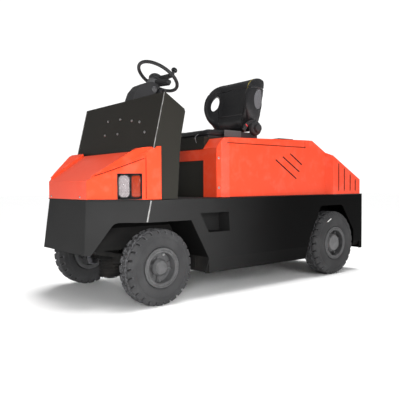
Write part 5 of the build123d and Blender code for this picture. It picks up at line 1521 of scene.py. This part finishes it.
def cushion_form():
    """Ring k of a rounded plan: |u|^5.5 + |v|^5.5 = 1, drawn in by the ring. Upper rings rise from the
    side to the crown; lower rings run flat to the middle."""
    angle = np.linspace(0, 2 * math.pi, 120, endpoint=False)
    u, v = rounded_wave(120, 2 / 5.5, 2 / 5.5)
    middle = np.array([(cushion_low.x + cushion_high.x) / 2, (cushion_low.y + cushion_high.y) / 2])
    half = np.array([(cushion_high.x - cushion_low.x) / 2 - 0.004,
                     (cushion_high.y - cushion_low.y) / 2 - 0.004])
    waist = 1 - 0.012 * np.cos(angle * 2) ** 2
    tall = cushion_high.z - cushion_low.z
    rows = [(k, 0.0) for k in np.linspace(0, 0.94, 14)] + [(0.975, 0.04), (0.992, 0.14)]
    rows += [(1.0, 0.30), (1.0, 0.55), (0.992, 0.72), (0.972, 0.84), (0.94, 0.90)]
    rows += [(k, 0.93) for k in np.linspace(0.90, 0, 20)]
    rings = []
    for k, level in rows:
        x, y = u * k * waist, v * k * waist
        bolster = 0.10 * np.exp(-((np.abs(x) - 0.80) / 0.16) ** 2)
        dish = -0.10 * (1 - x ** 2) * (1 - y ** 2)
        nose = -0.10 * smooth_step((-y - 0.80) / 0.20)
        rise = level + (bolster + dish + nose) * (level > 0.8)
        rings.append(np.stack([middle[0] + half[0] * x, middle[1] + half[1] * y,
                               cushion_low.z + 0.002 + tall * rise + 0 * x], 1))
    return np.array(rings).reshape(-1, 3), grid_faces(len(rows), 120, close_columns=True)


cushion = piece("cushion_cover", *cushion_form(), "seat_cover", "battery_cover", 180.0)
remeshed(cushion, 0.0065)
smoothed(cushion, 3)
puffed(cushion, 4.0, 0.005)
mesh = divided(cushion)
places = coordinates(mesh)
outward = normals(mesh)
x = places[:, 0] - (cushion_low.x + cushion_high.x) / 2
y = places[:, 1]
upper = smooth_step((outward[:, 2] - 0.2) / 0.4)
sink = groove_by(np.abs(x) - 0.150, 0.004, 0.0050) * upper
for line in (-0.300, -0.190, -0.080):
    sink += groove_by(y - line, 0.004, 0.0042) * upper * (np.abs(x) < 0.150)
edge = groove_by(places[:, 2] - (cushion_low.z + 0.026), 0.0030, 0.0025) * (1 - upper)
places = places - outward * (sink + edge)[:, None]
places[:, 2] = np.clip(places[:, 2], cushion_low.z, cushion_high.z + 0.006)
place_all(mesh, places)
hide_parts("seat_cushion")
print("cushion faces", len(mesh.polygons))

# %% [markdown]
# **Seat fittings.** A grey trim covers the hinge plate, a slide lever sticks out under the front,
# and the belt runs from its reel, beside the cushion, to a red-topped buckle. A stepped cover
# stands in for the reel's plain body, and a soft roll covers the gap at the backrest's foot.

# %% Trim, lever, belt and reel cover
pan_low, pan_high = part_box("seat_pan")
trim = soft_box((pan_high.x + 0.0002, -0.226, 1.250), (pan_high.x + 0.0065, -0.034, 1.306), 0.003)
rib = [soft_box((pan_high.x + 0.005, -0.218, z), (pan_high.x + 0.008, -0.042, z + 0.004), 0.0015)
       for z in (1.258, 1.270, 1.282, 1.294)]
piece("hinge_trim", *joined([trim] + rib), "collar_grey", "battery_cover", 50.0, slot="black_plastic")
lever = along_points([(0.262, -0.430, 1.2645), (0.290, -0.470, 1.250), (0.310, -0.498, 1.236),
                      (0.318, -0.508, 1.222), (0.320, -0.505, 1.205), (0.320, -0.498, 1.186)], 40)
piece("slide_lever", *swept(lever, round_section(0.0035, 12), up=(1, 0, 0)), "collar_grey", "battery_cover",
      60.0, slot="steel")
reel_low, reel_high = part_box("retractor")
reel = np.array([reel_high.x, (reel_low.y + reel_high.y) / 2, (reel_low.z + reel_high.z) / 2])
reel = reel + [0.014, 0.0, -0.006]
cover_rows = [(0, 0.0), (0.028, -0.0005), (0.0345, -0.003), (0.0370, -0.008), (0.0370, -0.0275),
              (0.0395, -0.029),
              (0.0540, -0.0305), (0.0600, -0.0345), (0.0620, -0.040), (0.0620, -0.0655), (0, -0.0655)]
reel_cover = piece("reel_cover", *turned(cover_rows, reel, (1, 0, 0), 64), "black_plastic",
                   "battery_cover", 40.0)
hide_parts("retractor")
gap_cover = soft_box((pan_low.x + 0.012, 0.060, 1.262), (pan_high.x - 0.012, 0.112, 1.302), 0.014)
piece("hinge_gap_cover", *gap_cover, "seat_cover", "battery_cover", 60.0)
print("reel at", reel.round(3))


def strap(points, width, thick, wide_way):
    """A flat strap along points: a rounded rectangle carried along them, its width along wide_way."""
    line = eased(along_points(points, 12 * (len(points) - 1) + 1), 40)
    u, v = rounded_wave(20, 0.25, 0.5)
    u, v = u * width / 2, v * thick / 2
    tangent = np.gradient(line, axis=0)
    tangent = tangent / np.linalg.norm(tangent, axis=1)[:, None]
    wide = np.asarray(wide_way, float) - tangent * (tangent @ np.asarray(wide_way, float))[:, None]
    wide = wide / np.linalg.norm(wide, axis=1)[:, None]
    thin = np.cross(tangent, wide)
    return capped(line[:, None] + u[None, :, None] * wide[:, None] + v[None, :, None] * thin[:, None])


belt_line = [(0.372, 0.130, 1.396), (0.371, 0.100, 1.402), (0.366, 0.062, 1.392), (0.360, 0.024, 1.366),
             (0.359, -0.004, 1.336), (0.359, -0.014, 1.318)]
piece("belt_strap", *strap(belt_line, 0.030, 0.0022, (0, 0.6, 0.8)), "belt", "battery_cover", 60.0,
      slot="seat_cover")
buckle_basis = frame_of((1, 0, 0), (0, 0.55, 0.83))
buckle = soft_box((-0.017, -0.030, -0.008), (0.017, 0.030, 0.008), 0.004, buckle_basis,
                  (0.3625, 0.004, 1.338))
button = soft_box((-0.0145, 0.014, -0.0085), (0.0145, 0.026, 0.0098), 0.002, buckle_basis,
                  (0.3625, 0.008, 1.342))
piece("belt_buckle", *buckle, "black_plastic", "battery_cover", 50.0)
piece("buckle_button", *button, "red_plastic", "battery_cover", 50.0, slot="red_lens")
print("belt set")
# %% [markdown]
# ## Underneath
# Between the wheels hang the parts that a tug hides in shadow: the splash plates across the front
# of the skirts, the steering gear's round housing, brackets and brake pipes. They are seen past the
# wheels, so each is a real shape in the right place, dark and a little soiled.

# %% Splash plates
skirt_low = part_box("side_plates")[0]
SPLASH_Y = -0.5985
splash = [soft_box((-0.592, SPLASH_Y, skirt_low.z + 0.004), (0.592, SPLASH_Y + 0.004, 0.376), 0.0015),
          soft_box((-0.545, SPLASH_Y + 0.002, skirt_low.z + 0.004),
                   (0.545, SPLASH_Y + 0.040, skirt_low.z + 0.008), 0.0015)]
piece("splash_plates", *joined(splash), "frame_paint", "chassis", 40.0)
ribs = [soft_box((x - 0.012, SPLASH_Y - 0.006, skirt_low.z + 0.02), (x + 0.012, SPLASH_Y + 0.001, 0.36),
                 0.003)
        for x in (-0.42, -0.14, 0.14, 0.42)]
piece("splash_ribs", *joined(ribs), "frame_paint", "chassis", 40.0)
print("splash plate from", round(skirt_low.z, 3))

# %% [markdown]
# The steering gear stands on the axle beam: a round motor housing with cooling fins turned on a
# lathe, and a ring of bolts under its foot. An inner splash wall hangs on each side of it.

# %% Steering gear housing
axle_low, axle_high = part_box("front_axle")
GEAR = (-0.113, -1.048)
gear_rows = [(0, 0.345), (0.062, 0.345), (0.080, 0.338), (0.084, 0.324), (0.084, 0.310)]
for k in range(6):
    z = 0.300 - 0.026 * k
    gear_rows += [(0.084, z), (0.089, z - 0.002), (0.089, z - 0.012), (0.084, z - 0.014)]
gear_rows += [(0.084, 0.136), (0.092, 0.132), (0.092, 0.122), (0.060, 0.118), (0.052, 0.106), (0, 0.104)]
piece("steering_gear", *turned(gear_rows, (*GEAR, 0.0), (0, 0, 1), 56), "frame_paint", "chassis", 40.0)
bolt_places = [((GEAR[0] + 0.074 * math.cos(a), GEAR[1] + 0.074 * math.sin(a), 0.1205), (0, 0, -1))
               for a in np.radians(np.arange(0, 360, 60))]
piece("steering_gear_bolts", *copies(bolt_form(0.014, 0.007, 1.3), bolt_places), "steel", "chassis", 40.0)
walls = [soft_box((s * 0.236 - 0.002, -1.000, 0.205), (s * 0.236 + 0.002, -0.600, 0.379),
                  0.0015) for s in SIGNS]
piece("inner_splash_walls", *joined(walls), "frame_paint", "chassis", 40.0)
print("steering gear and inner walls made; axle", axle_low.z, axle_high.z, axle_low.y, axle_high.y)

# %% Axle bracket and brake pipes
# The brackets are painted light grey: a painted highlight along them.
path = along_points([(-0.361, -1.118, 0.268), (-0.327, -1.118, 0.204), (-0.239, -1.118, 0.206)], 25)
flat = [(-0.0030, -0.016), (0.0030, -0.016), (0.0030, 0.016), (-0.0030, 0.016)]
brackets = [swept(path * (s, 1, 1), flat, up=(0, 1, 0)) for s in SIGNS]
piece("axle_brackets", *joined(brackets), "grey_plastic", "chassis", 30.0, slot="frame_paint")
pipes = []
for rise, y in ((0.012, -1.094), (0.024, -1.090)):
    x = np.linspace(-0.34, 0.34, 60)
    z = axle_high.z + rise - 0.010 * np.cos(x * 14) * np.exp(-(x / 0.2) ** 2)
    pipes.append(swept(np.stack([x, np.full(60, y), z], 1), round_section(0.0035, 10)))
piece("brake_pipes", *joined(pipes), "steel", "chassis", 60.0)
print("brackets and pipes made")

# %% [markdown]
# **Battery top.** With the lid up, the battery shows its cells: rows of vented caps in a black
# deck, copper link bars that join neighbouring cells, four lifting eyes and the plug at one corner.

# %% Battery cells, links and plug
battery_low, battery_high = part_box("battery")
ROWS_OF_CELLS, CELLS_IN_ROW = 6, 4
top = battery_high.z
cell_x = np.linspace(battery_low.x + 0.115, battery_high.x - 0.115, CELLS_IN_ROW)
cell_y = np.linspace(battery_low.y + 0.085, battery_high.y - 0.085, ROWS_OF_CELLS)
cap_rows = [(0, 0.0150), (0.009, 0.0150), (0.011, 0.0135), (0.0125, 0.0130), (0.019, 0.0120),
            (0.0205, 0.0105),
            (0.0205, 0.0015), (0.024, 0.0010), (0.024, -0.001), (0, -0.001)]
cap = turned(cap_rows, turns=28)
seats = [((x, y, top + 0.006), (0, 0, 1)) for x in cell_x for y in cell_y]
deck = [soft_box((x - 0.088, y - 0.050, top - 0.001), (x + 0.088, y + 0.050, top + 0.006), 0.003)
        for x in cell_x for y in cell_y]
post = turned([(0, 0.010), (0.0085, 0.010), (0.010, 0.0085), (0.010, 0.0), (0, 0.0)], turns=20)
posts_at = [((x + side * 0.062, y, top + 0.006),
             (0, 0, 1)) for x in cell_x for y in cell_y for side in (-1, 1)]
links = [soft_box((x + 0.050, y - 0.011, top + 0.0150), (next_x - 0.050, y + 0.011, top + 0.0195), 0.002)
         for x, next_x in zip(cell_x, cell_x[1:]) for y in cell_y]
for k, y in enumerate(cell_y[:-1]):
    x = cell_x[0] - 0.062 if k % 2 else cell_x[-1] + 0.062
    links.append(soft_box((x - 0.011, y - 0.012, top + 0.0150),
                          (x + 0.011, cell_y[k + 1] + 0.012, top + 0.0195), 0.002))
piece("cell_lids", *joined(deck), "black_plastic", "chassis", 40.0)
piece("cell_caps", *copies(cap, seats), "thread", "chassis", 40.0, slot="black_plastic")
piece("cell_posts", *copies(post, posts_at), "copper", "chassis", 40.0, slot="steel")
piece("cell_links", *joined(links), "copper", "chassis", 40.0, slot="steel")
plug_x, plug_y = battery_high.x - 0.075, battery_low.y + 0.016
plug = [soft_box((plug_x - 0.055, plug_y - 0.012, top + 0.001),
                 (plug_x + 0.055, plug_y + 0.012, top + 0.032), 0.004),
        soft_box((plug_x - 0.020, plug_y - 0.014, top + 0.030),
                 (plug_x + 0.020, plug_y + 0.014, top + 0.040), 0.003)]
piece("battery_plug", *joined(plug), "red_plastic", "chassis", 40.0, slot="red_lens")
eyes = []
for x in (battery_low.x + 0.030, battery_high.x - 0.030):
    for y in (battery_low.y + 0.20, battery_high.y - 0.20):
        bend = np.linspace(0, math.pi, 24)
        arch = np.stack([np.full(24, x), y + 0.022 * np.cos(bend), top + 0.002 + 0.024 * np.sin(bend)], 1)
        eyes.append(swept(arch, round_section(0.004, 10), up=(1, 0, 0)))
piece("lifting_eyes", *joined(eyes), "steel", "chassis", 60.0)
print("cells", ROWS_OF_CELLS * CELLS_IN_ROW, "top", round(top, 3))

# %% [markdown]
# **Plate bolts.** The rear plate is held to the frame by four bolts round the coupling and one near
# each end, and each step pocket by two more at its front corner.

# %% Plate and pocket bolts
hex_bolt = bolt_form(0.019, 0.009, 1.35)
places = [on_panel("rear_plate", (x, 1.9, z), (0, -1, 0))
          for x, z in ((-0.285, 0.66), (0.285, 0.66), (-0.285, 0.33), (0.285, 0.33), (-0.54, 0.36),
                       (0.54, 0.36))]
piece("rear_plate_bolts", *copies(hex_bolt, places), "steel", "chassis", 40.0)
pocket = [on_panel("step_pockets", (s * x, -0.9, z), (0, 1, 0)) for s in SIGNS for x,
          z in ((0.56, 0.500), (0.56, 0.560))]
piece("pocket_bolts", *copies(bolt_form(0.012, 0.005, 1.3), pocket), "steel", "chassis", 40.0)
print("plate bolts", len(places), "pocket bolts", len(pocket))

# %% [markdown]
# A rubber strip closes the slit between the deck's end and the rear plate, and keeps water out.

# %% Deck seal
seal = soft_box((-0.588, 1.3455, 0.7378), (0.588, 1.3785, 0.7450), 0.0015)
piece("deck_seal", *seal, "mat_rubber", "chassis", 40.0)
print("deck seal set")

# %% [markdown]
# ## Studio
# A pale floor, a soft white room, a large light on the vehicle's left side with a small one low
# ahead of it, one behind on the right, and one above. None of them shows in a glossy surface.
# The camera stands low, ahead of the vehicle on its left.

# %% Floor, light and camera
FLOOR_HALF = 40.0
floor_corners = [(x * FLOOR_HALF, y * FLOOR_HALF, 0) for x, y in ((-1, -1), (1, -1), (1, 1), (-1, 1))]
floor_mesh = bpy.data.meshes.new("floor")
floor_mesh.from_pydata(floor_corners, [], [(0, 1, 2, 3)])
floor = bpy.data.objects.new("floor", floor_mesh)
bpy.context.scene.collection.objects.link(floor)
pale = Finish("Pale_Floor")
tone = pale.mix(pale.noise(0.5), rgb(0.94, 0.94, 0.94), rgb(0.96, 0.96, 0.96))
floor_mesh.materials.append(pale.shade(Base_Color=tone, Roughness=0.9, Specular_IOR_Level=0.1))

ROOM_LIGHT = 0.28
world = bpy.data.worlds.new("Studio")
world.use_nodes = True
background = world.node_tree.nodes["Background"]
background.inputs["Color"].default_value = (1.0, 1.0, 1.0, 1.0)
ray = world.node_tree.nodes.new("ShaderNodeLightPath")
seen = world.node_tree.nodes.new("ShaderNodeMapRange")
world.node_tree.links.new(ray.outputs["Is Camera Ray"], seen.inputs[0])
seen.inputs[3].default_value = ROOM_LIGHT
seen.inputs[4].default_value = 1.1
world.node_tree.links.new(seen.outputs[0], background.inputs["Strength"])
bpy.context.scene.world = world
scene = bpy.context.scene
scene.view_settings.view_transform = "Standard"
scene.view_settings.look = "None"
scene.view_settings.exposure = 0.0


def soft_light(name, place, aim, size, power, spread=180.0):
    """A square area light at place that points at aim; spread is the width of its beam."""
    light = bpy.data.lights.new(name, "AREA")
    light.shape = "SQUARE"
    light.size = size
    light.energy = power
    light.spread = math.radians(spread)
    lamp = bpy.data.objects.new(name, light)
    lamp.location = place
    lamp.rotation_euler = (Vector(aim) - Vector(place)).to_track_quat("-Z", "Y").to_euler()
    lamp.visible_glossy = False
    scene.collection.objects.link(lamp)


soft_light("key_light", (3.7, -3.5, 1.1), (0.50, -1.30, 0.60), 1.2, 13, 42)
soft_light("flank_light", (5.0, -0.4, 1.9), (0.4, 0.1, 0.95), 2.4, 130)
soft_light("back_light", (-3.6, 1.6, 3.9), (0.0, -1.2, 1.0), 2.0, 110)
sun = bpy.data.lights.new("top_light", "SUN")
sun.energy = 2.6
sun.angle = math.radians(26)
overhead = bpy.data.objects.new("top_light", sun)
overhead.rotation_euler = (math.radians(-14), math.radians(2), 0)
overhead.visible_glossy = False
scene.collection.objects.link(overhead)

CAMERA_PLACE = (3.5323, -3.0680, 0.8507)
LOOK = Vector((-0.77634, 0.62959, -0.03030)).normalized()
camera_data = bpy.data.cameras.new("camera")
camera_data.lens = 45.83
camera_data.sensor_width = 36.0
camera_data.clip_end = 200.0
camera = bpy.data.objects.new("camera", camera_data)
up = Vector((-0.01990, 0.02356, 0.99952))
right = LOOK.cross(up).normalized()
up = right.cross(LOOK)
camera.matrix_world = Matrix((
    (right.x, up.x, -LOOK.x, CAMERA_PLACE[0]),
    (right.y, up.y, -LOOK.y, CAMERA_PLACE[1]),
    (right.z, up.z, -LOOK.z, CAMERA_PLACE[2]),
    (0, 0, 0, 1)))
scene.collection.objects.link(camera)
scene.camera = camera
print("camera", tuple(round(value, 3) for value in camera.location))
